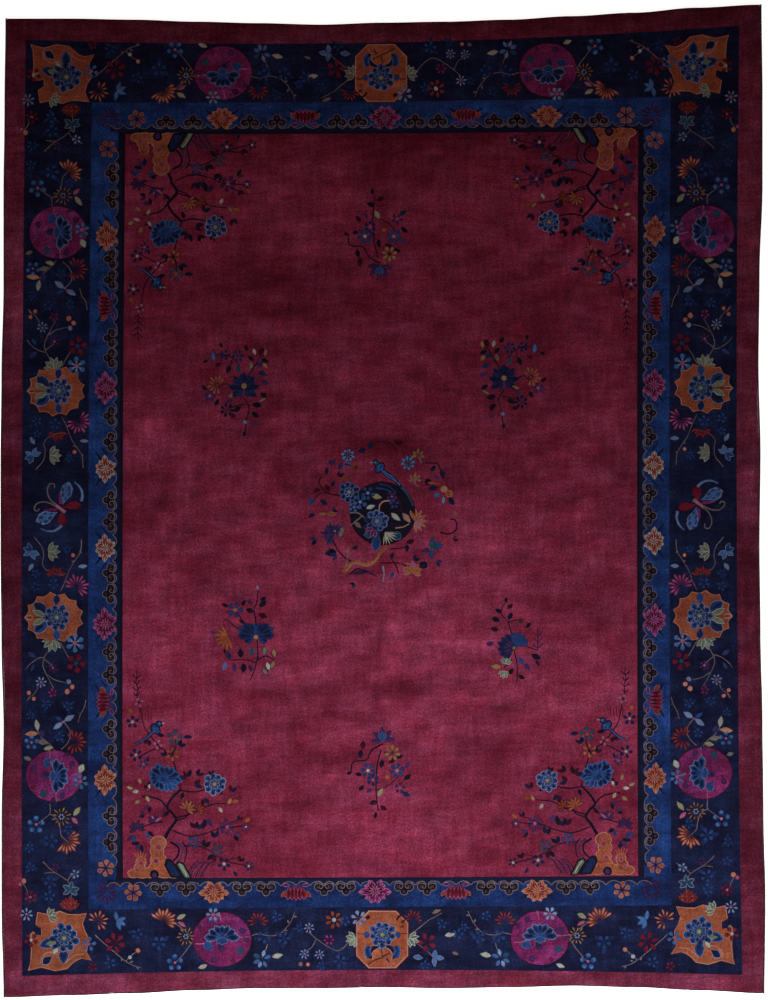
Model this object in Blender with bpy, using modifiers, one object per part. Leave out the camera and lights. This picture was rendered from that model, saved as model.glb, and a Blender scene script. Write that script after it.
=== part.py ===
"""A room-size Chinese knotted rug of the Peking kind, lying flat.

Metres, +Z up. The rug's length runs along Y, and its near end is at -Y. The origin is on the
floor under the middle of the rug.
"""

import math

import bpy

# One knot of the pile is the unit that the weaver counts in.
KNOT = 0.0036
KNOTS_ACROSS = 766
KNOTS_ALONG = 994
WIDTH = KNOT * KNOTS_ACROSS
LENGTH = KNOT * KNOTS_ALONG

PILE_THICKNESS = 0.011
PILE_ROUNDING = 0.0022
SIDE_BINDING_DIAMETER = 0.007
END_BINDING_DIAMETER = 0.005
GAP = 0.0003

CELLS_ACROSS = 40
CELLS_ALONG = 55

# How far each edge lies inside the rug's box, in knots, at even stations. The two sides are
# read from the near end to the far end, and the two ends from left to right.
LEFT_INSET = (3, 1, 1, 3, 1, 0, 0, 1, 3, 3, 4, 5)
RIGHT_INSET = (1, 0, 2, 3, 5, 6, 5, 7, 6, 3, 3, 4)
NEAR_INSET = (0, 2, 4, 7, 9, 9, 10, 9, 10, 11.5, 10, 7, 4)
FAR_INSET = (14, 14, 15, 17, 18.5, 20, 18, 17, 15, 11.5, 8, 3, 0)

# Soft ridges left from folding. Each runs from one point to another, its middle stands aside
# by the bow, and it dies out at its half width and over the fade at both of its ends.
CREASE_FADE = 0.25
CREASES = (
    # from x, from y, to x, to y, bow, half width, height
    (-0.56, -0.79, 0.50, -0.72, 0.05, 0.080, 0.0050),
    (-0.68, -0.52, -0.50, -0.80, -0.03, 0.060, 0.0025),
    (-0.30, -1.05, 0.42, -1.29, 0.00, 0.055, 0.0028),
    (0.01, -0.16, 0.02, -0.74, 0.00, 0.065, 0.0032),
    (0.02, 1.36, 0.01, 0.86, 0.00, 0.070, 0.0020),
    (-0.56, 0.65, 0.08, 0.70, 0.02, 0.075, 0.0034),
    (-0.91, 0.32, 0.92, 0.33, -0.02, 0.075, 0.0026),
    (-0.68, 0.01, 0.90, 0.02, 0.01, 0.065, 0.0016),
    (0.68, 0.62, 0.70, 0.10, 0.02, 0.060, 0.0024),
)

# Colours of the wool, linear, with their roughness.
PLUM_WOOL = (0.065, 0.008, 0.018)
OLIVE_WOOL = (0.055, 0.035, 0.022)
BROWN_WOOL = (0.040, 0.022, 0.016)
WOOL_ROUGHNESS = 0.9


def ease(share):
    """Go from 0 to 1 with a soft start and end."""
    share = min(max(share, 0.0), 1.0)
    return share * share * (3.0 - 2.0 * share)


def inset(table, share):
    """Read an edge's inset in metres at a share of the way along it."""
    place = share * (len(table) - 1)
    station = min(int(place), len(table) - 2)
    blend = ease(place - station)
    return KNOT * ((1.0 - blend) * table[station] + blend * table[station + 1])


def mix(low, high, share):
    """Return the value at a share of the way from low to high."""
    return low + (high - low) * share


def body_point(across, along):
    """Place a point of the knotted body, from its shares of the width and the length."""
    side = SIDE_BINDING_DIAMETER + GAP
    end = END_BINDING_DIAMETER + GAP
    left = -WIDTH / 2 + inset(LEFT_INSET, along) + side
    right = WIDTH / 2 - inset(RIGHT_INSET, along) - side
    near = -LENGTH / 2 + inset(NEAR_INSET, across) + end
    far = LENGTH / 2 - inset(FAR_INSET, across) - end
    return mix(left, right, across), mix(near, far, along)


def lift(x, y):
    """Return how far the creases raise the rug at a point."""
    total = 0.0
    for from_x, from_y, to_x, to_y, bow, half_width, height in CREASES:
        run_x = to_x - from_x
        run_y = to_y - from_y
        length = math.hypot(run_x, run_y)
        share = ((x - from_x) * run_x + (y - from_y) * run_y) / length ** 2
        if not 0.0 < share < 1.0:
            continue
        aside = ((y - from_y) * run_x - (x - from_x) * run_y) / length
        aside -= bow * 4.0 * share * (1.0 - share)
        if abs(aside) < half_width:
            crown = math.cos(math.pi / 2 * aside / half_width) ** 2
            total += height * crown * ease(min(share, 1.0 - share) / CREASE_FADE)
    return total


def wool(name, color):
    """Make a matt wool material."""
    material = bpy.data.materials.new(name)
    material.use_nodes = True
    shader = material.node_tree.nodes["Principled BSDF"]
    shader.inputs["Base Color"].default_value = (*color, 1.0)
    shader.inputs["Roughness"].default_value = WOOL_ROUGHNESS
    shader.inputs["Metallic"].default_value = 0.0
    return material


def add_body(collection):
    """Shape the knotted pile and its foundation as one flat sheet with soft edges."""
    bpy.ops.mesh.primitive_grid_add(
        x_subdivisions=CELLS_ACROSS, y_subdivisions=CELLS_ALONG, size=1.0
    )
    body = bpy.context.object
    for vertex in body.data.vertices:
        x, y = body_point(vertex.co.x + 0.5, vertex.co.y + 0.5)
        vertex.co = (x, y, PILE_THICKNESS + lift(x, y))
    thickness = body.modifiers.new("thickness", "SOLIDIFY")
    thickness.thickness = PILE_THICKNESS
    thickness.offset = -1.0
    rounding = body.modifiers.new("rounding", "BEVEL")
    rounding.width = PILE_ROUNDING
    rounding.segments = 2
    rounding.limit_method = "ANGLE"
    rounding.angle_limit = math.radians(60)
    finish(body, "rug_body", wool("plum_pile", PLUM_WOOL), collection)


def add_binding(name, points, diameter, material, collection):
    """Lay a wound binding along the points, resting on the floor."""
    curve = bpy.data.curves.new(name, "CURVE")
    curve.dimensions = "3D"
    curve.bevel_depth = diameter / 2
    curve.bevel_resolution = 2
    curve.use_fill_caps = True
    spline = curve.splines.new("POLY")
    spline.points.add(len(points) - 1)
    for point, (x, y) in zip(spline.points, points):
        point.co = (x, y, diameter / 2, 1.0)
    binding = bpy.data.objects.new(name, curve)
    bpy.context.scene.collection.objects.link(binding)
    finish(binding, name, material, collection)


def side_route(across, outward):
    """Follow one long side of the body at the binding's radius, out to both ends."""
    clear = GAP + SIDE_BINDING_DIAMETER / 2
    past = GAP + END_BINDING_DIAMETER
    edge = [body_point(across, row / CELLS_ALONG) for row in range(CELLS_ALONG + 1)]
    points = [(x + outward * clear, y) for x, y in edge]
    first = (points[0][0], points[0][1] - past)
    last = (points[-1][0], points[-1][1] + past)
    return [first, *points, last]


def end_route(along, outward):
    """Follow one end of the body at the binding's radius, between the two side bindings."""
    clear = GAP + END_BINDING_DIAMETER / 2
    edge = [body_point(column / CELLS_ACROSS, along) for column in range(CELLS_ACROSS + 1)]
    return [(x, y + outward * clear) for x, y in edge]


def finish(piece, name, material, collection):
    """Name a piece, give it its wool and put it in the rug's collection."""
    piece.name = name
    piece.data.name = name
    piece.data.materials.append(material)
    for holder in list(piece.users_collection):
        holder.objects.unlink(piece)
    collection.objects.link(piece)


for item in list(bpy.data.objects):
    bpy.data.objects.remove(item)

rug = bpy.data.collections.new("peking_rug")
bpy.context.scene.collection.children.link(rug)

add_body(rug)

olive = wool("side_binding_wool", OLIVE_WOOL)
add_binding("side_binding_left", side_route(0.0, -1.0), SIDE_BINDING_DIAMETER, olive, rug)
add_binding("side_binding_right", side_route(1.0, 1.0), SIDE_BINDING_DIAMETER, olive, rug)

brown = wool("end_binding_wool", BROWN_WOOL)
add_binding("end_binding_near", end_route(0.0, -1.0), END_BINDING_DIAMETER, brown, rug)
add_binding("end_binding_far", end_route(1.0, 1.0), END_BINDING_DIAMETER, brown, rug)
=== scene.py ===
import math

import bpy
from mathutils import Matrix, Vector, noise


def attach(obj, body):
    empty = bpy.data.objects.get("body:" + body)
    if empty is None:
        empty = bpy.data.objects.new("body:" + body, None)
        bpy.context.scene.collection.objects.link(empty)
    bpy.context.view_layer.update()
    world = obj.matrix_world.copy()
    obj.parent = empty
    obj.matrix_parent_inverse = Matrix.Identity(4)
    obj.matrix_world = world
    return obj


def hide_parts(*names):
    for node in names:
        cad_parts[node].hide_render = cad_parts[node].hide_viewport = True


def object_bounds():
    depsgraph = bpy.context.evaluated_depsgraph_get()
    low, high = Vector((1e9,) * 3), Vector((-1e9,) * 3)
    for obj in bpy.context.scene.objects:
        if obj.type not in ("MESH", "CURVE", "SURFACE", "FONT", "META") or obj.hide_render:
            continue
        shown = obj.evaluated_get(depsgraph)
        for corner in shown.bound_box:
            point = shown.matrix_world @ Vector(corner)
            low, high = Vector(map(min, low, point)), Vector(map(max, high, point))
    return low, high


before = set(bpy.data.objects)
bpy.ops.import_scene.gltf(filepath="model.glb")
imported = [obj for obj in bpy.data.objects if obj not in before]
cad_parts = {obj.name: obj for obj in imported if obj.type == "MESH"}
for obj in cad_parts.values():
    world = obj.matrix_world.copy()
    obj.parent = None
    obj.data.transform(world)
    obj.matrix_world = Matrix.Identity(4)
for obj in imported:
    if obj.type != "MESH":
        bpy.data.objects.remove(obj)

cad_low, cad_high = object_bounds()
for item in bpy.context.selected_objects:
    item.select_set(False)

# Knotted ground.
# The rug is woven in one piece: wool knots on cotton warps, beaten down row by row and cut to
# an even pile. Its plain bands are a plum edge, a navy border, a blue guard and a dark line,
# round a plum field. Places on it are counted in knots, across and along, as on the loom.
KNOT = 0.0036
MIDDLE_COLUMN = 383.0
MIDDLE_ROW = 501.0
WIDTH = cad_high.x - cad_low.x
LENGTH = cad_high.y - cad_low.y
PILE = 0.011
SIDE_BINDING = 0.007
END_BINDING = 0.005
GAP = 0.0003

# Insets of the four edges from the rug's box, in knots, at even stations.
LEFT_INSET = (3, 1, 1, 3, 1, 0, 0, 1, 3, 3, 4, 5)
RIGHT_INSET = (1, 0, 2, 3, 5, 6, 5, 7, 6, 3, 3, 4)
NEAR_INSET = (0, 2, 4, 7, 9, 9, 10, 9, 10, 11.5, 10, 7, 4)
FAR_INSET = (14, 14, 15, 17, 18.5, 20, 18, 17, 15, 11.5, 8, 3, 0)

# Inner edges of the bands, in knots, from the outside in. Columns are given at the near end,
# the middle and the far end, and rows at the left, the middle and the right.
LEFT_BANDS = ((22.3, 21.8, 26.0), (89.3, 88.4, 93.0), (117.0, 116.0, 119.7), (123.7, 122.8, 126.8))
RIGHT_BANDS = ((742.7, 736.8, 739.6), (672.6, 669.3, 671.5), (645.8, 642.3, 645.0), (638.8, 637.0, 639.0))
NEAR_BANDS = ((976.7, 970.0, 975.5), (910.4, 907.0, 905.0), (884.0, 882.0, 881.0), (877.9, 877.4, 875.0))
FAR_BANDS = ((39.0, 42.5, 24.0), (102.0, 101.6, 94.5), (127.7, 127.0, 123.5), (133.5, 133.5, 128.7))
CELLS_ACROSS = (3, 6, 3, 1, 60, 1, 3, 6, 3)
CELLS_ALONG = (3, 6, 3, 1, 84, 1, 3, 6, 3)

# Soft ridges left from folding, as the solids have them.
CREASE_FADE = 0.25
CREASES = (
    # from x, from y, to x, to y, bow, half width, height
    (-0.56, -0.79, 0.50, -0.72, 0.05, 0.080, 0.0050),
    (-0.68, -0.52, -0.50, -0.80, -0.03, 0.060, 0.0025),
    (-0.30, -1.05, 0.42, -1.29, 0.00, 0.055, 0.0028),
    (0.01, -0.16, 0.02, -0.74, 0.00, 0.065, 0.0032),
    (0.02, 1.36, 0.01, 0.86, 0.00, 0.070, 0.0020),
    (-0.56, 0.65, 0.08, 0.70, 0.02, 0.075, 0.0034),
    (-0.91, 0.32, 0.92, 0.33, -0.02, 0.075, 0.0026),
    (-0.68, 0.01, 0.90, 0.02, 0.01, 0.065, 0.0016),
    (0.68, 0.62, 0.70, 0.10, 0.02, 0.060, 0.0024),
)
# The worn pile is uneven: cycles a metre across, how much closer they lie along the rug, and
# the height in metres.
COCKLE_CYCLES = 4.2
COCKLE_CLOSER = 1.6
COCKLE_HEIGHT = 0.0007


def ease(share):
    """Go from 0 to 1 with a soft start and end."""
    share = min(max(share, 0.0), 1.0)
    return share * share * (3.0 - 2.0 * share)


def inset(table, share):
    """Read an edge's inset in metres at a share of the way along it."""
    place = share * (len(table) - 1)
    station = min(int(place), len(table) - 2)
    blend = ease(place - station)
    return KNOT * ((1.0 - blend) * table[station] + blend * table[station + 1])


def bowed(first, middle, last, share):
    """Read a parabola through three values at its start, middle and end."""
    return (
        first * (1.0 - share) * (1.0 - 2.0 * share)
        + middle * 4.0 * share * (1.0 - share)
        + last * share * (2.0 * share - 1.0)
    )


def edges_across(along):
    """Return the x of the ten band edges, left to right, at a share of the length."""
    side = SIDE_BINDING + GAP
    left = [-WIDTH / 2 + inset(LEFT_INSET, along) + side]
    left += [KNOT * (bowed(*band, along) - MIDDLE_COLUMN) for band in LEFT_BANDS]
    right = [WIDTH / 2 - inset(RIGHT_INSET, along) - side]
    right += [KNOT * (bowed(*band, along) - MIDDLE_COLUMN) for band in RIGHT_BANDS]
    return left + right[::-1]


def edges_along(across):
    """Return the y of the ten band edges, near to far, at a share of the width."""
    end = END_BINDING + GAP
    near = [-LENGTH / 2 + inset(NEAR_INSET, across) + end]
    near += [KNOT * (MIDDLE_ROW - bowed(*band, across)) for band in NEAR_BANDS]
    far = [LENGTH / 2 - inset(FAR_INSET, across) - end]
    far += [KNOT * (MIDDLE_ROW - bowed(*band, across)) for band in FAR_BANDS]
    return near + far[::-1]


def spread(edges, cells, line):
    """Return the place of a grid line, with the cells shared out between the band edges."""
    for band, count in enumerate(cells):
        if line <= count:
            return edges[band] + (edges[band + 1] - edges[band]) * line / count
        line -= count
    return edges[-1]


def band_of(cells, cell):
    """Return which band a cell lies in, from 0 outside to 4 in the field."""
    for band, count in enumerate(cells):
        if cell < count:
            return min(band, len(cells) - 1 - band)
        cell -= count
    return 0


def lift(x, y):
    """Return how far the creases raise the rug at a point."""
    total = 0.0
    for from_x, from_y, to_x, to_y, bow, half_width, height in CREASES:
        run_x = to_x - from_x
        run_y = to_y - from_y
        length = math.hypot(run_x, run_y)
        share = ((x - from_x) * run_x + (y - from_y) * run_y) / length ** 2
        if not 0.0 < share < 1.0:
            continue
        aside = ((y - from_y) * run_x - (x - from_x) * run_y) / length
        aside -= bow * 4.0 * share * (1.0 - share)
        if abs(aside) < half_width:
            crown = math.cos(math.pi / 2 * aside / half_width) ** 2
            total += height * crown * ease(min(share, 1.0 - share) / CREASE_FADE)
    return total


def pile_top(x, y):
    """Return the height of the cut pile, with its creases and its uneven wear."""
    wear = noise.noise(Vector((x * COCKLE_CYCLES, y * COCKLE_CYCLES * COCKLE_CLOSER, 0.7)))
    return PILE + lift(x, y) + COCKLE_HEIGHT * wear


def math_node(tree, operation, first, second):
    """Add a math node, whose inputs are numbers or sockets."""
    node = tree.nodes.new("ShaderNodeMath")
    node.operation = operation
    for socket, value in zip(node.inputs, (first, second)):
        if isinstance(value, float):
            socket.default_value = value
        else:
            tree.links.new(value, socket)
    return node.outputs[0]


def mapped(tree, place, x, y, lean, scale_x, scale_y):
    """Carry object coordinates to a place of the rug, turned by a lean and scaled."""
    mapping = tree.nodes.new("ShaderNodeMapping")
    mapping.vector_type = "TEXTURE"
    mapping.inputs["Location"].default_value = (x, y, 0.0)
    mapping.inputs["Rotation"].default_value = (0.0, 0.0, lean)
    mapping.inputs["Scale"].default_value = (scale_x, scale_y, 1.0)
    tree.links.new(place, mapping.inputs["Vector"])
    return mapping.outputs[0]


def noise_node(tree, place, cycles, lean, detail, seed):
    """Add a noise on object coordinates, with its cycles a metre on X and Y, turned by a lean."""
    field = mapped(tree, place, seed, seed * 0.7, lean, 1.0 / cycles[0], 1.0 / cycles[1])
    grain = tree.nodes.new("ShaderNodeTexNoise")
    grain.inputs["Scale"].default_value = 1.0
    grain.inputs["Detail"].default_value = detail
    tree.links.new(field, grain.inputs["Vector"])
    return grain.outputs["Fac"]


# Unevenness of the dyed wool: cycles a metre along X and Y, lean, detail, and strength. The hues swing
# between a redder and a bluer dye, and the faded wool is greyer than the fresh, by a power for red, green
# and blue; the same power also turns the painted light greyer and the painted shade richer in colour. The
# ripples are relief, with their height in metres.
HUES = ((9.0, 12.0), 0.0, 3.0, 0.55)
FADE_AND_LIGHT_POWERS = (0.95, 1.25, 1.2)
CLOUDS = ((1.8, 3.2), 0.0, 2.0, 0.45)
BLOTCHES = ((8.5, 13.5), 0.05, 4.0, 0.95)
WARP_STREAKS = ((55.0, 11.0), 0.0, 1.0, 0.40)
WEFT_STREAKS = ((14.0, 55.0), 0.0, 2.0, 0.42)
KNOT_GRAIN = ((140.0, 150.0), 0.3, 2.0, 1.05)
RIPPLES = ((3.0, 12.0), 0.08, 3.0, 0.008)

# Rows of knots show as fine ribs. A wave texture of scale 1 runs through 20 radians a metre.
RIB_SCALE = 2.0 * math.pi / KNOT / 20.0
RIB_DISTORTION = 1.5
RIB_SHARE = 0.15
PILE_RELIEF = (0.5, 0.0006)
WOOL_ROUGHNESS = 0.95
WOOL_SHEEN = 0.03


def painted_light_bands(tree, place, bands):
    """Paint light and shade into the wool along the rug's length, from stations of Y in metres and their
    strength.

    A ramp only holds values up to 1, so the strengths are halved in it and doubled after it.
    """
    height = tree.nodes.new("ShaderNodeSeparateXYZ")
    tree.links.new(place, height.inputs[0])
    share = math_node(tree, "MULTIPLY_ADD", height.outputs["Y"], 1.0 / LENGTH)
    share.node.inputs[2].default_value = 0.5
    ramp = tree.nodes.new("ShaderNodeValToRGB")
    ramp.color_ramp.interpolation = "B_SPLINE"
    while len(ramp.color_ramp.elements) < len(bands):
        ramp.color_ramp.elements.new(0.5)
    for element, (y, strength) in zip(ramp.color_ramp.elements, bands):
        element.position = 0.5 + y / LENGTH
        element.color = (strength / 2, strength / 2, strength / 2, 1.0)
    tree.links.new(share, ramp.inputs[0])
    return math_node(tree, "MULTIPLY", ramp.outputs[0], 2.0)


def painted_sheen_and_shade(tree, place, sheen_and_shade_mark):
    """Return the painted sheen, lighter or darker, of one place, which fades out over its reach."""
    column, row, across, along, strength = sheen_and_shade_mark
    x = (column - MIDDLE_COLUMN) * KNOT
    y = (MIDDLE_ROW - row) * KNOT
    field = mapped(tree, place, x, y, 0.0, across * KNOT, along * KNOT)
    glow = tree.nodes.new("ShaderNodeTexGradient")
    glow.gradient_type = "QUADRATIC_SPHERE"
    tree.links.new(field, glow.inputs["Vector"])
    return math_node(tree, "MULTIPLY", glow.outputs["Fac"], strength)


def wool(name, color, seed, uneven=1.0, bands=None, sheen_and_shade_marks=()):
    """Make knotted wool: streaked and clouded dye, painted light and shade in bands along the length and in
    marks, and a ribbed cut pile.
    """
    material = bpy.data.materials.new(name)
    material.use_nodes = True
    tree = material.node_tree
    shader = tree.nodes["Principled BSDF"]
    place = tree.nodes.new("ShaderNodeTexCoord").outputs["Object"]
    shade = None
    for step, (cycles, lean, detail, strength) in enumerate(
        (CLOUDS, BLOTCHES, WARP_STREAKS, WEFT_STREAKS, KNOT_GRAIN)
    ):
        grain = noise_node(tree, place, cycles, lean, detail, seed + 3.1 * step)
        swing = math_node(tree, "MULTIPLY_ADD", grain, 2.0 * strength * uneven)
        swing.node.inputs[2].default_value = -strength * uneven
        shade = swing if shade is None else math_node(tree, "ADD", shade, swing)
    # Painted sheen and shade from the marks, added to the dye's unevenness.
    for sheen_and_shade_mark in sheen_and_shade_marks:
        shade = math_node(tree, "ADD", shade, painted_sheen_and_shade(tree, place, sheen_and_shade_mark))
    shade = math_node(tree, "EXPONENT", shade, 0.0)
    # Painted light and shade: the wool is made lighter or darker in bands along the rug's length.
    if bands:
        shade = math_node(tree, "MULTIPLY", shade, painted_light_bands(tree, place, bands))
    cycles, lean, detail, strength = HUES
    hue = noise_node(tree, place, cycles, lean, detail, seed + 40.0)
    hue = math_node(tree, "MULTIPLY_ADD", hue, 2.0 * strength * uneven)
    hue.node.inputs[2].default_value = 1.0 - strength * uneven
    # The power per channel works on the painted light and sheen in the shade too, so lit places turn greyer
    # and shaded ones deeper in colour.
    tint = tree.nodes.new("ShaderNodeCombineXYZ")
    for socket, share, fade_and_light_power in zip(tint.inputs, color, FADE_AND_LIGHT_POWERS):
        channel = math_node(tree, "MULTIPLY", math_node(tree, "POWER", shade, fade_and_light_power), share)
        if socket.name != "X":
            channel = math_node(tree, "MULTIPLY", channel, hue)
        tree.links.new(channel, socket)
    tree.links.new(tint.outputs[0], shader.inputs["Base Color"])

    wave = tree.nodes.new("ShaderNodeTexWave")
    wave.bands_direction = "Y"
    wave.inputs["Scale"].default_value = RIB_SCALE
    wave.inputs["Distortion"].default_value = RIB_DISTORTION
    tree.links.new(place, wave.inputs["Vector"])
    relief = math_node(tree, "MULTIPLY_ADD", wave.outputs["Fac"], RIB_SHARE)
    tree.links.new(grain, relief.node.inputs[2])
    normal = None
    ripples = noise_node(tree, place, *RIPPLES[:3], 4.7)
    for height, strength, distance in ((ripples, 1.0, RIPPLES[3]), (relief, *PILE_RELIEF)):
        bump = tree.nodes.new("ShaderNodeBump")
        bump.inputs["Strength"].default_value = strength
        bump.inputs["Distance"].default_value = distance
        tree.links.new(height, bump.inputs["Height"])
        if normal:
            tree.links.new(normal, bump.inputs["Normal"])
        normal = bump.outputs[0]
    tree.links.new(normal, shader.inputs["Normal"])
    shader.inputs["Roughness"].default_value = WOOL_ROUGHNESS
    shader.inputs["Specular IOR Level"].default_value = WOOL_SHEEN
    return material


# Painted sheen and shade: places where the pile is painted lighter or darker, as brushed pile catches more
# or less light, with column, row, reach across and along, and strength. Some lie along the folds, as the
# lit and shaded sides of their ridges.
FIELD_SHEEN_AND_SHADE = (
    (148, 432, 60, 62, 0.6), (300, 425, 95, 26, 0.4), (590, 425, 80, 40, 0.42),
    (480, 545, 120, 75, 0.38), (450, 643, 75, 22, 0.55), (388, 820, 130, 70, 0.3),
    (590, 350, 70, 70, 0.3), (300, 190, 120, 70, 0.25), (392, 645, 16, 100, 0.3),
    (300, 333, 170, 10, 0.25), (585, 520, 26, 150, 0.2), (184, 480, 18, 170, 0.2),
    (200, 582, 46, 40, -0.6), (401, 685, 46, 28, -0.75), (275, 278, 100, 26, -0.6),
    (490, 735, 55, 52, -0.4), (592, 600, 80, 52, -0.45), (540, 595, 40, 80, -0.3),
    (390, 446, 70, 42, -0.55), (335, 760, 70, 22, -0.4), (260, 728, 100, 14, -0.45),
    (290, 692, 150, 14, -0.3), (383, 195, 16, 110, -0.35), (379, 640, 8, 90, -0.3),
    (225, 675, 22, 60, -0.25), (300, 312, 170, 16, -0.3), (500, 708, 60, 14, -0.5),
    (250, 632, 60, 70, -0.4), (180, 800, 60, 80, -0.12),
)
# Painted sheen and shade on the plum edge band: lighter and darker places of the pile's sheen, laid out as
# above.
EDGE_SHEEN_AND_SHADE = (
    (748, 690, 60, 130, 0.5), (752, 480, 50, 130, 0.35), (20, 310, 50, 110, 0.4),
    (10, 500, 60, 140, -0.35), (15, 690, 50, 60, -0.2), (15, 820, 44, 90, 0.18),
    (750, 220, 30, 70, 0.15), (745, 560, 50, 50, -0.3), (100, 985, 120, 50, 0.25),
    (420, 985, 150, 50, 0.2), (640, 988, 60, 40, -0.3), (750, 850, 50, 80, -0.45),
)

# Ground colours, linear, in the order of the bands, with their unevenness, bands of painted light and shade
# along the length, and marks of painted sheen and shade.
# The back of the rug is the last.
# Painted light and shade in bands along the field, the plum edge and the blue guard: Y in metres and
# strength.
FIELD_LIGHT_BANDS = (
    (-1.5, 0.90), (-1.08, 0.88), (-0.72, 1.13), (-0.38, 1.38), (0.0, 0.80),
    (0.30, 0.95), (0.72, 0.74), (1.08, 1.28), (1.35, 0.45),
)
EDGE_LIGHT_BANDS = (
    (-1.76, 1.32), (-1.62, 1.10), (-1.1, 0.76), (-0.5, 0.84),
    (0.0, 0.96), (0.6, 1.3), (1.1, 1.7), (1.7, 0.9),
)
GUARD_LIGHT_BANDS = ((-1.6, 0.60), (-1.2, 0.98), (0.0, 1.10), (1.2, 1.12), (1.6, 1.26))
GROUND_WOOLS = (
    ("plum_edge", (0.084, 0.0116, 0.0255), 1.0, EDGE_LIGHT_BANDS, EDGE_SHEEN_AND_SHADE),
    ("navy_ground", (0.0066, 0.0082, 0.0260), 0.9, None, ()),
    ("blue_guard", (0.0084, 0.0208, 0.081), 0.9, GUARD_LIGHT_BANDS, ()),
    ("dark_line", (0.0065, 0.0055, 0.0120), 0.4, None, ()),
    ("plum_field", (0.132, 0.0150, 0.0350), 0.9, FIELD_LIGHT_BANDS, FIELD_SHEEN_AND_SHADE),
    ("cotton_back", (0.19, 0.12, 0.10), 0.7, None, ()),
)
BACK_SLOT = len(GROUND_WOOLS) - 1
EDGE_ROUNDING = 0.0022

cells_wide = sum(CELLS_ACROSS)
cells_long = sum(CELLS_ALONG)
nominal_across = [spread(edges_across(0.5), CELLS_ACROSS, line) for line in range(cells_wide + 1)]
nominal_along = [spread(edges_along(0.5), CELLS_ALONG, line) for line in range(cells_long + 1)]


def nominal_share(places, line):
    """Return how far along the nominal grid a line lies."""
    return (places[line] - places[0]) / (places[-1] - places[0])


bpy.ops.mesh.primitive_grid_add(x_subdivisions=cells_wide, y_subdivisions=cells_long, size=1.0)
ground = bpy.context.object
ground.name = "knotted_ground"
ground.data.name = "knotted_ground"
for wool_name, color, uneven, bands, sheen_and_shade_marks in GROUND_WOOLS:
    ground.data.materials.append(wool(wool_name, color, 1.7 * len(wool_name), uneven, bands, sheen_and_shade_marks))
for polygon in ground.data.polygons:
    cell_across = int((polygon.center.x + 0.5) * cells_wide)
    cell_along = int((polygon.center.y + 0.5) * cells_long)
    polygon.material_index = min(band_of(CELLS_ACROSS, cell_across), band_of(CELLS_ALONG, cell_along))
for vertex in ground.data.vertices:
    line_across = round((vertex.co.x + 0.5) * cells_wide)
    line_along = round((vertex.co.y + 0.5) * cells_long)
    x = spread(edges_across(nominal_share(nominal_along, line_along)), CELLS_ACROSS, line_across)
    y = spread(edges_along(nominal_share(nominal_across, line_across)), CELLS_ALONG, line_along)
    vertex.co = (x, y, pile_top(x, y))
thickness = ground.modifiers.new("thickness", "SOLIDIFY")
thickness.thickness = PILE
thickness.offset = -1.0
bpy.ops.object.modifier_apply(modifier="thickness")
for vertex in ground.data.vertices:
    floor_height = lift(vertex.co.x, vertex.co.y)
    if vertex.co.z < PILE / 2 + floor_height:
        vertex.co.z = floor_height
rounding = ground.modifiers.new("rounding", "BEVEL")
rounding.width = EDGE_ROUNDING
rounding.segments = 3
rounding.limit_method = "ANGLE"
rounding.angle_limit = math.radians(60)
bpy.ops.object.modifier_apply(modifier="rounding")
for polygon in ground.data.polygons:
    if polygon.normal.z < -0.5:
        polygon.material_index = BACK_SLOT
bpy.ops.object.shade_smooth()
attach(ground, "root")
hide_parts("rug_body")

# Guard flowers and clouds.
# The blue guard carries lotus, star and plum blossom between pairs of dark cloud heads, which
# stand on a scalloped tan line. Each colour is its own yarn, tied in with the ground, and a
# patch stands higher by a level for each colour drawn under it. Patches of one yarn are one piece.
LEVEL = 0.00022
ROOT_DEPTH = 0.0012
WOBBLE = 0.45
WOBBLE_PITCH = 0.19
WOBBLE_SEED = 7
noise.seed_set(WOBBLE_SEED)
tufts = {}


def straight(u, v):
    """Leave a place of the chart where it is."""
    return u, v


placing = straight


def to_floor(u, v):
    """Turn a place of the chart into metres, with the small unevenness of hand knotting."""
    column, row = placing(u, v)
    drift = noise.noise_vector(Vector((column * WOBBLE_PITCH, row * WOBBLE_PITCH, 2.3)))
    x = KNOT * (column + WOBBLE * drift.x - MIDDLE_COLUMN)
    y = KNOT * (MIDDLE_ROW - row - WOBBLE * drift.y)
    return x, y


def add_tuft(yarn, points, faces, turned_over):
    """Keep one closed tuft of a yarn, with its faces outwards."""
    vertices, polygons = tufts.setdefault(yarn, ([], []))
    first = len(vertices)
    vertices.extend(points)
    for face in faces:
        polygons.append([first + corner for corner in (face[::-1] if turned_over else face)])


def clockwise(points):
    """Tell whether a loop of floor points runs clockwise, seen from above."""
    pairs = zip(points, points[1:] + points[:1])
    return sum(a[0] * b[1] - b[0] * a[1] for a, b in pairs) < 0


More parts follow.
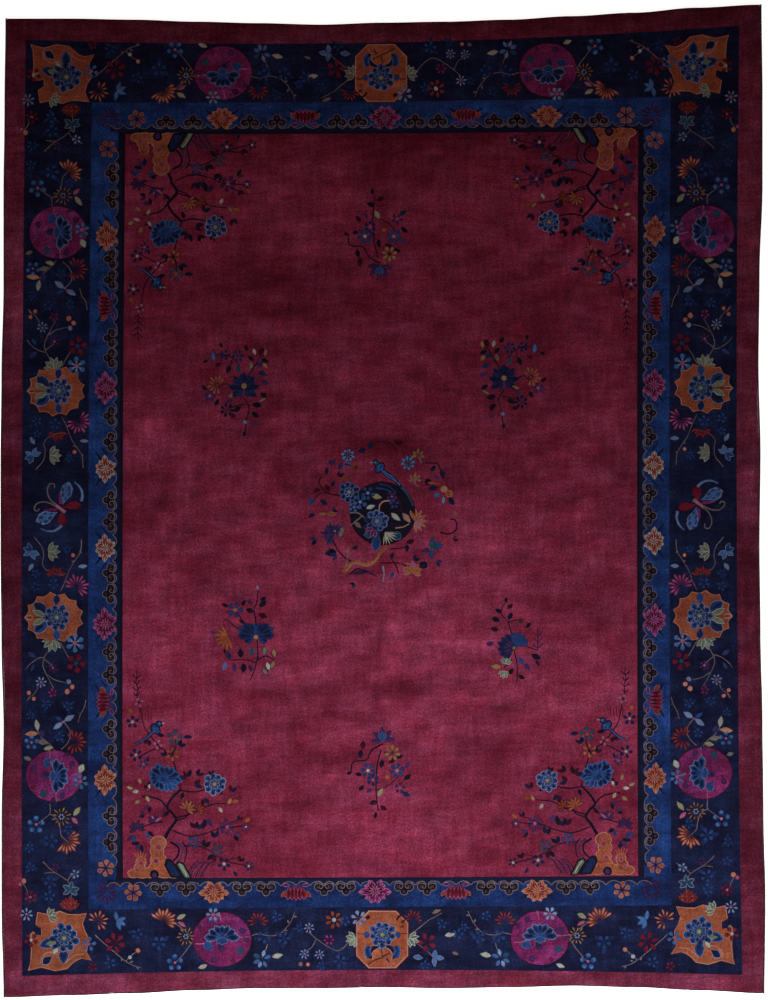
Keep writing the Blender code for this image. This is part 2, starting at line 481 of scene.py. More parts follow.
def patch(yarn, loop, level, rings=1):
    """Tie a patch inside a loop of chart points that all face its middle."""
    edge = [to_floor(u, v) for u, v in loop]
    count = len(edge)
    middle_x = sum(x for x, y in edge) / count
    middle_y = sum(y for x, y in edge) / count
    rise = level * LEVEL
    points = [(middle_x, middle_y, pile_top(middle_x, middle_y) + rise)]
    faces = []
    for ring in range(1, rings + 1):
        for x, y in edge:
            x = middle_x + (x - middle_x) * ring / rings
            y = middle_y + (y - middle_y) * ring / rings
            points.append((x, y, pile_top(x, y) + rise))
    base = len(points)
    for x, y in edge:
        points.append((x, y, pile_top(x, y) - ROOT_DEPTH))
    points.append((middle_x, middle_y, pile_top(middle_x, middle_y) - ROOT_DEPTH))
    for n in range(count):
        following = (n + 1) % count
        faces.append((0, 1 + n, 1 + following))
        for ring in range(rings - 1):
            inner = 1 + ring * count
            outer = inner + count
            faces.append((inner + n, outer + n, outer + following, inner + following))
        outer = base - count
        faces.append((outer + n, base + n, base + following, outer + following))
        faces.append((base + count, base + following, base + n))
    add_tuft(yarn, points, faces, clockwise(edge))


def smooth_route(route, steps):
    """Return points along a smooth curve through the route."""
    ends = [route[0], *route, route[-1]]
    points = []
    for a, b, c, d in zip(ends, ends[1:], ends[2:], ends[3:]):
        for step in range(steps):
            t = step / steps
            points.append(tuple(
                0.5 * (2 * b[k] + (c[k] - a[k]) * t
                       + (2 * a[k] - 5 * b[k] + 4 * c[k] - d[k]) * t * t
                       + (3 * b[k] - a[k] - 3 * c[k] + d[k]) * t ** 3)
                for k in (0, 1)
            ))
    return [*points, tuple(route[-1])]


def line(yarn, route, width, level, tip=1, steps=4):
    """Tie a line along a smooth curve, narrowing to a share of its width at the tip."""
    curve = smooth_route(route, steps)
    left = []
    right = []
    for n, (u, v) in enumerate(curve):
        before = curve[max(n - 1, 0)]
        after = curve[min(n + 1, len(curve) - 1)]
        run_u = after[0] - before[0]
        run_v = after[1] - before[1]
        length = math.hypot(run_u, run_v) or 1
        half = width / 2 * (1 + (tip - 1) * n / (len(curve) - 1))
        left.append(to_floor(u - run_v / length * half, v + run_u / length * half))
        right.append(to_floor(u + run_v / length * half, v - run_u / length * half))
    rise = level * LEVEL
    points = []
    for (left_x, left_y), (right_x, right_y) in zip(left, right):
        points.append((left_x, left_y, pile_top(left_x, left_y) + rise))
        points.append((right_x, right_y, pile_top(right_x, right_y) + rise))
        points.append((right_x, right_y, pile_top(right_x, right_y) - ROOT_DEPTH))
        points.append((left_x, left_y, pile_top(left_x, left_y) - ROOT_DEPTH))
    last = len(points) - 4
    faces = [(0, 1, 2, 3), (last + 3, last + 2, last + 1, last)]
    for n in range(0, last, 4):
        for corner in range(4):
            following = (corner + 1) % 4
            faces.append((n + corner, n + corner + 4, n + following + 4, n + following))
    add_tuft(yarn, points, faces, clockwise(right + left[::-1]))


def step_from(u, v, heading, ahead, aside=0):
    """Step ahead on a heading and to its left. Heading 0 is right and 90 is up the chart."""
    turn = math.radians(heading)
    return (
        u + ahead * math.cos(turn) - aside * math.sin(turn),
        v - ahead * math.sin(turn) - aside * math.cos(turn),
    )


def petal_loop(u, v, heading, length, width, fullness):
    """Outline a petal from its base. More fullness puts its widest part nearer the tip."""
    stations = (0.22, 0.5, 0.78, 0.94)
    halves = [width / 2 * math.sin(math.pi * station ** fullness) for station in stations]
    left = [step_from(u, v, heading, length * s, h) for s, h in zip(stations, halves)]
    right = [step_from(u, v, heading, length * s, -h) for s, h in zip(stations, halves)]
    return [(u, v), *left, step_from(u, v, heading, length), *right[::-1]]


def round_loop(u, v, across, along, heading=0, points=10):
    """Outline an oval by its two half sizes."""
    turns = [2 * math.pi * n / points for n in range(points)]
    return [step_from(u, v, heading, across * math.cos(a), along * math.sin(a)) for a in turns]


def oval(yarn, u, v, across, along, level, heading=0, points=10):
    """Tie an oval patch."""
    patch(yarn, round_loop(u, v, across, along, heading, points), level)


def petal(u, v, heading, length, width, yarn, edge, level, fullness=1.6, rim=0.7):
    """Tie one petal with a lighter or darker rim round it."""
    if edge:
        base = step_from(u, v, heading, -0.5 * rim)
        patch(edge, petal_loop(*base, heading, length + 1.4 * rim, width + 2 * rim, fullness), level)
    patch(yarn, petal_loop(u, v, heading, length, width, fullness), level + 1)


def blossom(u, v, size, yarn, heart, edge=None, petals=5, level=1, slim=1):
    """Tie an open flower of petals set apart, round its heart and turned its own way."""
    width = 2.75 * size / petals * slim
    turn = 7 * u + 13 * v
    for n in range(petals):
        heading = turn + 360 * n / petals
        base = step_from(u, v, heading, 0.24 * size)
        petal(*base, heading, 0.76 * size, width, yarn, edge, level, 1.7, 0.45)
    if heart:
        oval(heart, u, v, 0.23 * size, 0.23 * size, level + 2, points=8)


def fan(u, v, size, heading, yarn, edge, petals=7, sweep=170, level=1, slim=0.34, fullness=1.2):
    """Tie half a flower: petals spread from one base, every other one on top."""
    for n in range(petals):
        share = 2 * n / (petals - 1) - 1
        on_top = 2 * (n % 2)
        reach = size * (1 - 0.12 * abs(share))
        petal(u, v, heading + share * sweep / 2, reach, slim * size, yarn, edge, level + on_top, fullness)


def rays(u, v, size, heading, yarn, tip, count=9, sweep=200, level=1, heart=None):
    """Tie a chrysanthemum: thin rays set apart, each with a lighter stroke down it."""
    for n in range(count):
        turn = heading + (n / (count - 1) - 0.5) * sweep
        reach = size * (1 if n % 2 else 0.84)
        base = step_from(u, v, turn, 0.12 * size)
        patch(yarn, petal_loop(*base, turn, reach - 0.12 * size, 0.22 * size, 1.9), level)
        stroke = step_from(u, v, turn, 0.42 * size)
        patch(tip, petal_loop(*stroke, turn, reach - 0.5 * size, 0.11 * size, 1.5), level + 1)
    if heart:
        for n in range(6):
            oval(heart, *step_from(u, v, 60 * n, 0.2 * size), 0.9, 0.9, level + 1, points=6)


def guard_lotus(u, v, heading, size, yarn, edge, heart):
    """Tie a lotus whose pointed petals spread to both sides, with pale tips and dark strokes."""
    for side in (-1, 1):
        for n, (lean, reach) in enumerate(((150, 0.78), (118, 0.72), (86, 1.02), (54, 0.76), (20, 0.76))):
            turn = heading + side * lean
            petal(u, v, turn, reach * size, 0.40 * size, yarn, edge, 2 + side * (n % 2 or -1), 1.3, 0.8)
            vein = step_from(u, v, turn, 0.24 * size)
            patch(heart, petal_loop(*vein, turn, 0.46 * reach * size, 0.11 * size, 1), 5)
            tip = step_from(u, v, turn, 0.68 * reach * size)
            patch(edge, petal_loop(*tip, turn, 0.34 * reach * size, 0.11 * size, 1), 5)
            between = step_from(u, v, turn + 16 * side, 0.12 * size)
            patch(heart, petal_loop(*between, turn + 16 * side, 0.36 * size, 0.12 * size, 1), 6)
            patch(edge, petal_loop(*between, turn, 0.30 * size, 0.07 * size, 1), 7)


def cloud_head(u, v, heading):
    """Tie a dark cloud head on the guard's inner edge: three lobes, a tan rim and two tan curls."""
    def at(ahead, aside):
        """Place a point from the foot of the cloud head."""
        return step_from(u, v, heading, ahead, aside)
    lobes = ((8.8, 5.7, 3.4), (8.8, -5.7, 3.4), (13.4, 0, 3.2), (9.8, 0, 4.4))
    for yarn, more, level in (("tan", 0.8, 1), ("ink", 0, 2)):
        for ahead, aside, reach in lobes:
            oval(yarn, *at(ahead, aside), reach + more, reach + more, level, points=12)
    for ahead, aside, reach in lobes[:3]:
        oval("brown", *at(ahead, aside), 0.45 * reach, 0.55 * reach, 3, points=8)
    curl = ((6, 8.8), (3.6, 7.4), (3, 4.6), (4.6, 1.8), (8.4, 1.4), (10, 2.8), (9.4, 4.4), (7.6, 4.2))
    for side in (-1, 1):
        line("tan", [at(ahead, side * aside) for ahead, aside in curl], 0.8, 3, 1, 2)


def leaf(u, v, heading, length, width, yarn, edge=None, level=1):
    """Tie a pointed leaf from its stalk."""
    petal(u, v, heading, length, width, yarn, edge, level, 0.95)


def guard_item(kind, u, v, heading):
    """Tie one of the guard's flowers, its foot towards the field."""
    if kind == "orange":
        guard_lotus(u, v, heading, 15, "orange", "peach", "red")
    elif kind == "magenta":
        guard_lotus(u, v, heading, 16, "magenta", "rose", "wine")
    elif kind == "star":
        guard_lotus(u, v, heading, 13.5, "orange", "cream", "red")
    elif kind == "red":
        for n in range(-2, 3):
            foot = step_from(u, v, heading, abs(n) - 8, 3.2 * n)
            petal(*foot, heading + 4 * n, 17 - 1.5 * abs(n), 4.6, "red", "rose", 2 + n % 2, 1.5, 0.6)
            patch("wine", petal_loop(*step_from(*foot, heading, 4), heading + 4 * n, 8, 1.5, 1), 6)
            if abs(n) == 2:
                petal(*step_from(*foot, heading, 5), heading + 27 * n, 10, 5, "madder", "rose", 1, 1.4, 0.6)
                leaf(*foot, heading + 48 * n, 7, 3, "violet", "rose", 1)
    elif kind == "plum":
        blossom(u, v, 8.5, "orange", "wine", "peach", petals=6, slim=1.15)
    elif kind == "purple":
        rays(u, v, 12, heading, "wine", "violet", 11, 330)


def guard_kinds(flowers):
    """Set two cloud heads between each flower of a guard and the next."""
    kinds = []
    for flower in flowers:
        kinds += [flower, "cloud", "cloud"]
    return kinds[:-2]


SIDE_KINDS = guard_kinds((
    "plum", "orange", "red", "magenta", "star", "star", "magenta", "red", "orange", "plum",
))
END_KINDS = [
    "purple", *guard_kinds(("plum", "orange", "red", "magenta", "red", "orange", "plum")), "purple",
]

# Stations of the guard's motifs along each side, in knots from the photo's own frame: the long
# sides from the near end to the far end, and the ends from left to right.
GUARD_LEFT = (
    868, 842, 816, 780, 754, 729, 702, 675, 652, 624, 594, 573, 548, 522,
    500, 469, 442, 416, 388, 358, 338, 306, 280, 259, 236, 199, 173, 149,
)
GUARD_RIGHT = (
    865, 836, 813, 778, 752, 727, 700, 673, 648, 620, 595, 571, 541, 516,
    493, 465, 437, 413, 385, 355, 332, 306, 279, 255, 231, 193, 166, 140,
)
GUARD_FAR = (
    110, 137, 166, 193, 222, 250, 277, 305, 337, 358, 385,
    415, 438, 466, 494, 517, 547, 576, 599, 626, 652,
)
GUARD_NEAR = (
    107, 133, 160, 186, 214, 242, 266, 296, 324, 346, 375,
    404, 427, 456, 486, 509, 537, 566, 590, 622, 652,
)
SCALLOP_RISE = 4.2
SCALLOP_FOOT = 3.0


def guard_band(bands, upright):
    """Return a placing for a station and a depth, 0 at the guard's inner edge and 1 at its outer."""
    def place(station, depth):
        """Place a station of this guard."""
        share = (998 - station) / 994 if upright else station / 766
        inner = bowed(*bands[2], share)
        reach = inner + (bowed(*bands[1], share) - inner) * depth
        return (reach, station) if upright else (station, reach)
    return place


def guard_side(stations, kinds, band, heading, set_in):
    """Tie one side of the guard: its scallops, its cloud heads and its flowers with their leaves."""
    def place_of(station, depth):
        """Place a station, set in from the band's edge."""
        return step_from(*band(station, depth), heading, -set_in)
    cusps = sorted([*stations, *((low + high) / 2 for low, high in zip(stations, stations[1:]))])
    for low, high in zip(cusps, cusps[1:]):
        arc = []
        for n in range(7):
            u, v = place_of(low + (high - low) * n / 6, 0)
            bulge = math.sin(math.pi * n / 6) ** 0.6
            arc.append(step_from(u, v, heading, SCALLOP_FOOT + SCALLOP_RISE * (1 - bulge)))
        middle = (low + high) / 2
        for half, start, end in ((arc[:4], low, middle), (arc[3:], middle, high)):
            patch("navy", [*half, place_of(end, 0), place_of(start, 0)], 1)
        line("tan", arc, 0.8, 2, 1, 1)
    for station, kind in zip(stations, kinds):
        if kind == "cloud":
            cloud_head(*place_of(station, 0), heading)
            continue
        guard_item(kind, *place_of(station, 0.51), heading)
        if kind in ("plum", "purple"):
            continue
        for aside in (-1, 1):
            for near, far, depth, yarn in ((9, 17, 0.66, "navy"), (15, 22, 0.46, "dusk")):
                foot = place_of(station + near * aside, depth)
                line(yarn, [foot, place_of(station + far * aside, depth + 0.22)], 3.2, 1, 0.3)


guard_side(GUARD_LEFT, SIDE_KINDS, guard_band(LEFT_BANDS, True), 180, 3.6)
guard_side(GUARD_RIGHT, SIDE_KINDS, guard_band(RIGHT_BANDS, True), 0, 2.4)
guard_side(GUARD_FAR, END_KINDS, guard_band(FAR_BANDS, False), 90, 4)
guard_side(GUARD_NEAR, END_KINDS, guard_band(NEAR_BANDS, False), 270, 3.8)

# Border roundels, panels and butterflies.
# Magenta discs, orange medallions, two eight-sided panels and four cloud-edged corner panels
# stand in the navy border, each with a blue peony or lotus. A butterfly is at the middle of
# each long side.


def oak_leaf(u, v, heading, size, level=1):
    """Tie a green leaf of five pointed lobes about its middle, with a cream rim."""
    root = step_from(u, v, heading, -0.7 * size)
    fan(*root, 1.75 * size, heading, "green", "cream", 5, 125, level, 0.30, 1.1)
    line("cream", [root, step_from(u, v, heading, 0.7 * size)], 0.8, level + 4, 0.5, 2)


def clover(u, v, size):
    """Tie a small sky blue flower of five round petals set apart, round a pink heart."""
    for n in range(5):
        turn = 20 + 72 * n
        middle = step_from(u, v, turn, 0.70 * size)
        oval("blue", *middle, 0.36 * size, 0.34 * size, 1, turn, 8)
        tip = step_from(u, v, turn, 0.80 * size)
        oval("sky", *tip, 0.21 * size, 0.24 * size, 2, turn, 8)
    oval("rose", u, v, 0.20 * size, 0.20 * size, 2, points=6)


def bud(u, v, size, yarn, edge=None, level=1):
    """Tie a small round bud."""
    if edge:
        oval(edge, u, v, size + 0.6, size + 0.6, level, points=8)
    oval(yarn, u, v, size, size, level + 1, points=8)


def dusky(u, v, size, heading):
    """Tie a dim flower that hardly stands out from the navy: a round head and three leaves."""
    for n in range(3):
        turn = heading + 120 * n
        leaf(*step_from(u, v, turn, 0.5 * size), turn + 25, 0.9 * size, 0.5 * size, "dusk")
    blossom(u, v, 0.8 * size, "blue", "dusk", "dusk", level=2)


def peony(u, v, size, turn, heart="green", petals="blue", edge="pale", level=5):
    """Tie a peony: two rings of edged petals with navy hearts, and a pale green middle."""
    oval("navy", u, v, 0.66 * size, 0.66 * size, level, points=16)
    for n in range(9):
        heading = turn + 40 * n
        base = step_from(u, v, heading, 0.30 * size)
        reach = (0.76, 0.60, 0.68)[n % 3] * size
        petal(*base, heading, reach, 0.48 * size, petals, edge, level + 2 * (n % 2), 2, 0.85)
        dot = step_from(u, v, heading, 0.60 * size)
        patch("navy", petal_loop(*dot, heading, 0.28 * size, 0.20 * size, 1.4), level + 4)
    for n in range(7):
        heading = turn + 20 + 360 * n / 7
        base = step_from(u, v, heading, 0.14 * size)
        petal(*base, heading, 0.34 * size, 0.24 * size, petals, "pale", level + 4, 1.7, 0.6)
    oval(heart, u, v, 0.20 * size, 0.20 * size, level + 6, points=8)
    oval("straw", u, v, 0.10 * size, 0.10 * size, level + 7, points=6)


def big_leaves(u, v, size, headings):
    """Tie broad pale-edged leaves round a flower, with a deep middle."""
    for heading in headings:
        base = step_from(u, v, heading, 0.30 * size)
        petal(*base, heading, 0.66 * size, 0.36 * size, "blue", "pale", 4, 1.1, 0.55)
        inner = step_from(u, v, heading, 0.38 * size)
        patch("dusk", petal_loop(*inner, heading, 0.48 * size, 0.22 * size, 1.1), 6)


def lotus(u, v, size, heading, edge="sky", level=2):
    """Tie a blue lotus from the side: broad petals low, upright ones between, navy hearts."""
    for side in (-1, 1):
        for lean, reach, rise in ((88, 1, 0), (60, 0.86, 1)):
            turn = heading + side * lean
            petal(u, v, turn, reach * size, 0.46 * size, "blue", edge, level + rise)
            heart = step_from(u, v, turn, 0.30 * size)
            patch("navy", petal_loop(*heart, turn, 0.56 * reach * size, 0.26 * size, 1.4), level + 2 + rise)
    for side in (-1, 1, 0):
        turn = heading + side * 30
        reach = 0.80 if side else 0.70
        petal(u, v, turn, reach * size, 0.36 * size, "blue", edge, level + 3)
        heart = step_from(u, v, turn, 0.26 * size)
        patch("navy", petal_loop(*heart, turn, 0.5 * reach * size, 0.18 * size, 1.4), level + 5)
    for side in (-1, 1, 0):
        petal(u, v, heading + 180 + side * 44, 0.40 * size, 0.26 * size, "blue", edge, level + 4, 1.5, 0.45)


def disc(u, v, size, inward):
    """Tie a magenta disc with a blue lotus that opens towards the field, leaves and stems."""
    def at(ahead, aside):
        """Place a point from the disc's middle, in shares of its size."""
        return step_from(u, v, inward, ahead * size, aside * size)
    along = (0.93 if inward % 180 else 0.91) * size
    patch("wine", round_loop(u, v, size + 0.8, along + 0.8, points=32), 1, 4)
    patch("magenta", round_loop(u, v, size, along, points=32), 2, 4)
    for ahead, aside, turn, length, width, yarn, edge in (
        (0.36, -0.52, 250, 9, 5, "violet", "dusk"), (0.58, 0.26, 70, 8, 5, "violet", "wine"),
        (-0.22, -0.58, 200, 8, 8, "teal", "violet"), (-0.34, 0.26, 60, 12, 9, "blue", "sky"),
        (-0.10, -0.02, 170, 9, 6, "violet", "dusk"), (-0.12, 0.12, 205, 7, 5, "dusk", "violet"),
        (-0.68, 0.10, 100, 8, 5, "violet", "wine"), (-0.60, -0.34, 200, 7, 4, "red", "violet"),
        (0.10, -0.70, 235, 8, 4, "violet", "wine"), (0.30, 0.70, 30, 7, 3, "violet", "wine"),
    ):
        petal(*at(ahead, aside), inward + turn, length, width, yarn, edge, 3, 1.6, 0.7)
    line("rose", [at(0.94, 0.10), at(0.78, 0.06), at(0.62, 0.02)], 1.2, 4)
    line("rose", [at(0.10, -0.92), at(0.07, -0.74), at(0.10, -0.50)], 1.2, 4)
    line("rose", [at(-0.06, 0.36), at(-0.14, 0.62), at(-0.14, 0.90)], 1.2, 4)
    lotus(*at(0.06, 0), 0.60 * size, inward, "pale", 5)


MEDALLION_TIPS = 13
MEDALLION_CUT = 0.12


def pointed_loop(u, v, across, along, turn):
    """Outline an oval whose rim has points outwards, six steps from each to the next."""
    loop = []
    for n in range(MEDALLION_TIPS * 6):
        angle = 2 * math.pi * n / (MEDALLION_TIPS * 6)
        radius = 1 - MEDALLION_CUT * abs(math.sin(MEDALLION_TIPS * angle / 2))
        angle += math.radians(turn)
        loop.append((u + across * radius * math.cos(angle), v - along * radius * math.sin(angle)))
    return loop


def medallion(u, v, across, along, turn):
    """Tie an orange medallion with a pointed rim round a blue peony."""
    def out(ahead, aside=0):
        """Place a point from the medallion's middle, in shares of its size."""
        return step_from(u, v, turn, ahead * across, aside * across)
    for yarn, more, level in (("wine", 1.6, 1), ("peach", 0.9, 2), ("orange", 0, 3)):
        patch(yarn, pointed_loop(u, v, across + more, along + more, turn), level, 4)
    for side, yarn in ((1, "blue"), (-1, "dusk")):
        lean = turn + 34 * side
        petal(*out(0.14, 0.12 * side), lean, 0.66 * across, 0.36 * across, yarn, "pale", 4, 1.4)
        patch("navy", petal_loop(*out(0.34, 0.24 * side), lean, 0.36 * across, 0.12 * across, 1), 6)
        lean = turn + 26 * side
        leaf(*out(0.30, 0.04 * side), lean, 0.48 * across, 0.16 * across, "green", "cream", 6)
        lean = turn + 98 * side
        petal(*out(-0.06, 0.40 * side), lean, 0.38 * across, 0.24 * across, yarn, "sky", 4, 1.3, 0.6)
    for n in (-1, 0, 1):
        line("gold" if n else "madder", [out(0.34, 0.02 * n), out(0.74, 0.12 * n)], 1.2, 6, 1, 1)
    petal(*out(0.70), turn, 0.28 * across, 0.12 * across, "madder", "cream", 5, 1)
    peony(*out(-0.10), 0.46 * across, turn)


def octagon(u, v, heading):
    """Tie an orange eight-sided panel: a peony, two thick leaves round an arch, and brown twigs."""
    def at(ahead, aside):
        """Place a point from the panel's middle."""
        return step_from(u, v, heading, ahead, aside)

    panel = (("wine", 27, 30, 13, 1), ("peach", 26, 28.9, 12.5, 2), ("orange", 24.8, 27.7, 12, 3))
    for yarn, half_width, half_height, cut, level in panel:
        patch(yarn, [
            (u - half_width + cut, v - half_height), (u + half_width - cut, v - half_height),
            (u + half_width, v - half_height + cut), (u + half_width, v + half_height - cut),
            (u + half_width - cut, v + half_height), (u - half_width + cut, v + half_height),
            (u - half_width, v + half_height - cut), (u - half_width, v - half_height + cut),
        ], level, 4)
    arch = ((19, 11), (13, 12), (8.5, 8.5), (6.5, 0))
    for yarn, inwards, width, level in (("navy", 0, 3.8, 4), ("peach", 2.1, 0.9, 5)):
        half = [(ahead + 0.6 * inwards, aside - inwards * (aside > 0)) for ahead, aside in arch]
        line(yarn, [at(*place) for place in half] + [at(a, -b) for a, b in half[2::-1]], width, level)
    for side in (-1, 1):
        for yarn, width, level in (("sky", 7.6, 5), ("blue", 6, 6), ("dusk", 1.6, 7)):
            line(yarn, [
                at(17.5, 12.4 * side), at(14, 14.4 * side), at(10, 14.8 * side), at(7, 12.8 * side),
            ], width, level, 0.7)
        oak_leaf(*at(0, 30.6 * side), heading + 70 * side, 5.8, level=5)
        petal(*at(-4.5, 11.5 * side), heading + 92 * side, 6.5, 6, "blue", "violet", 4, 1.6)
        line("brown", [at(-6, 18.5 * side), at(-6, 25 * side)], 0.9, 4)
    for route in (
        ((9, -1.5), (13, -0.6), (18, 0.4)), ((18, 0.4), (20.5, -7), (25, -14)),
        ((17.4, 0.4), (15.4, 4), (13, 8)),
    ):
        line("brown", [at(*place) for place in route], 1.1, 6)
    line("violet", [at(19, 4), at(21, 6), at(23.5, 7)], 2.4, 4, 0.6)
    line("wine", [at(-19, 14.5), at(-22.5, 16), at(-24.4, 19.5)], 2, 4)
    for ahead, aside, yarn in ((-18, 20.6, "brown"), (-13, 20, "madder"), (-22, -14.5, "wine")):
        oval(yarn, *at(ahead, aside), 2.6, 1.8, 4, 40, 8)
    blossom(*at(-21.5, -23.5), 8, "pale", "violet", "blue", petals=6, level=4)
    peony(*at(-5, 0), 13.4, heading)


# Rim of a corner panel about its middle, going round from the tip next to the corner.
PANEL_RIM = (
    (-31, 28), (-29, 21), (-28, 8), (-29, -1), (-29, -8), (-18, -6.5), (-18, -14.5), (-24, -16.5),
    (-22, -29), (-12, -27), (0, -30), (8, -27), (17, -27), (26, -28), (22, -18), (24, -11), (28, -4),
    (27, 4), (26, 10), (31, 18), (21, 16), (16, 18), (12, 21), (7, 26), (-5, 28), (-18, 24.5),
)


def corner_panel(u, v, side, end):
    """Tie an orange corner panel with flame tips. side and end are the signs of its corner."""
    def at(a, b):
        """Place a point from the panel's middle, turned to its corner."""
        return u - side * a, v + end * b
    outward = math.degrees(math.atan2(-end, side))
    hand = side * end
    for yarn, spread_out, level in (("wine", 1.06, 1), ("peach", 1.035, 2), ("orange", 1, 3)):
        patch(yarn, [at(spread_out * a, spread_out * b) for a, b in PANEL_RIM], level, 4)
    big_leaves(*at(4, -4), 27, (outward + 27 * hand, outward - 44 * hand))
    line("peach", [at(-3, 13), at(-8, 10), at(-14, 11.5), at(-18.5, 16), at(-19.5, 22)], 1, 4)
    line("peach", [at(24, 12), at(16, 13), at(11, 16), at(5, 21)], 0.9, 4)
    petal(*at(-8, 14), outward + 5 * hand, 12, 7.5, "navy", "pale", 4, 1.3, 0.9)
    leaf(*at(-4, 0), outward + 33 * hand, 11, 4.4, "green", "cream", 6)
    leaf(*at(-2, 6), outward - 4 * hand, 8, 4, "cream", "green", 6)
    peony(*at(4, -4), 15, outward)
    blossom(*at(-29, -2), 7, "red", "cream", "wine", level=5)
    leaf(*at(-27, -4), 90, 6, 4, "gold", "peach", 4)
    blossom(*at(29, 2), 7, "sky", "rose", "blue", level=5)
    oak_leaf(*at(-8, -27), math.degrees(math.atan2(end * 0.4, -side)), 5.6, level=5)


def butterfly():
    """Tie the butterfly of the right side: light blue fore wings, red hind wings, long tails."""
    for tail in (
        ((697.4, 487), (701, 483), (706, 480.8), (712, 480.8), (718, 483.5)),
        ((677.6, 511), (676.6, 517), (678, 523), (681, 527), (684.5, 530)),
    ):
        line("dusk", tail, 4.6, 1, 0.4)
        line("sky", tail, 3, 2, 0.4)
        line("pale", tail[:4], 1.7, 3, 0.5)
    for base, heading, length, width in (((701, 500), 24, 24, 14), ((696.5, 507), 254, 24, 13)):
        for yarn, ahead, longer, wider, level in (
            ("dusk", -1, 2.2, 3, 1), ("pale", 0, 0, 0, 2), ("sky", 0.6, -2, -2.4, 3),
        ):
            root = step_from(*base, heading, ahead)
            patch(yarn, petal_loop(*root, heading, length + longer, width + wider, 1.5), level, 2)
        for ahead, aside, size in (
            (0.40, 0.10, 1.5), (0.52, -0.16, 1.3), (0.62, 0.16, 1.5),
            (0.74, -0.08, 1.7), (0.86, 0.12, 1.1), (0.28, -0.05, 1),
        ):
            spot = step_from(*base, heading, ahead * length, aside * length)
            oval("blue", *spot, 1.6 * size, size, 4, heading, 8)
    line("magenta", [(702, 502.5), (708, 502.6), (715, 501.4)], 3, 4, 0.5)
    line("magenta", [(698, 508), (699, 513), (699.4, 519)], 3.4, 4, 0.5)
    for base, heading, length, width in (((698, 502), 96, 16, 10), ((698, 504.5), 190, 20, 9)):
        patch("wine", petal_loop(*base, heading, length + 1.2, width + 1.8, 1.7), 1)
        patch("red", petal_loop(*base, heading, length, width, 1.7), 5)
    line("rose", [(693.5, 499.5), (698, 503), (703.5, 507)], 4, 6, 0.6)
    line("peach", [(694.5, 500), (698, 503), (702, 506)], 1.8, 7, 0.6)
    for feeler in (
        (
            (703.5, 506), (711, 509.4), (718, 510), (723.4, 507), (724.6, 502.4), (721.6, 501),
            (719.8, 503.6),
        ),
        (
            (702.5, 507.5), (707.5, 511), (711, 517), (711.4, 524), (708.6, 528.4), (704.6, 527.4),
            (705, 523.6),
        ),
    ):
        line("tan", feeler, 1.4, 2, 0.8)


def turned_left(u, v):
    """Carry a place of the right side's middle to the left side, turned half round."""
    return 759 - u, 1012 - v


disc(58, 232.5, 28.4, 0)
disc(706, 231.5, 28.4, 180)
disc(54, 776, 28, 0)
disc(703.5, 773, 28.4, 180)
disc(223, 73, 28.6, 270)
disc(548, 70, 28.6, 270)
disc(222, 939.5, 29, 90)
disc(540, 938, 29, 90)
medallion(56, 391, 28.5, 25, 180)
medallion(54, 617.5, 29, 25, 180)
medallion(703.5, 388, 29, 25, 0)
medallion(702.5, 616, 29.5, 25.5, 0)
octagon(381, 73, 90)
octagon(382.3, 939.5, 270)
for row in ((62.5, 73, -1, -1), (697, 63.5, 1, -1), (60, 942, -1, 1), (703, 935.5, 1, 1)):
    corner_panel(*row)
butterfly()
placing = turned_left
butterfly()

# Border sprays.
# Between the roundels run flowering sprays on thin gold stems: pale blue and red blossoms,
# half-round chrysanthemums, lobed leaves and buds. The four quarters of the border mirror
# each other, with small shifts from corner to corner.


def stem(route, yarn="tan", width=0.9):
    """Tie a thin stem that narrows towards its tip."""
    line(yarn, route, width, 1, 0.75)


def twig_leaves(route, yarn, length, width):
    """Tie small leaves by turns along a stem."""
    for n in range(len(route) - 1):
        (u, v), (next_u, next_v) = route[n], route[n + 1]
        heading = math.degrees(math.atan2(v - next_v, next_u - u))
        side = 55 if n % 2 else -55
        leaf((u + next_u) / 2, (v + next_v) / 2, heading + side, length, width, yarn)


def side_spray_by_butterfly():
    """Tie the spray between the butterfly and the lower medallion of the right side."""
    stem([(676, 539), (677, 551), (682.5, 560), (688, 569), (693, 582), (697, 590)])
    stem([(723.5, 537), (715.5, 547), (714, 556), (715, 564), (709, 571), (694, 575)])
    bud(684.5, 555, 1.8, "peach", "red")
    leaf(679, 566, 178, 8.5, 3.4, "pale", "sky")
    oak_leaf(704.5, 551.5, 180, 6.6)
    for heading in (205, 250, 330, 20, 65):
        leaf(726, 551, heading, 8.5, 3.8, "sky" if heading > 180 else "blue", "pale")
    leaf(724.5, 563, 300, 8, 3.6, "pale", "sky")
    rays(702, 577, 12, 92, "red", "madder", 8, 130)
    rays(681, 586, 14, 120, "magenta", "rose", 11, 230)
    dusky(704, 583, 7, 80)
    dusky(722, 586, 6, 20)
    dusky(690, 549, 5, 140)
    dusky(722, 573, 5, 40)
    twig_leaves([(677, 545), (679, 556), (686, 566)], "tan", 3.6, 1.6)


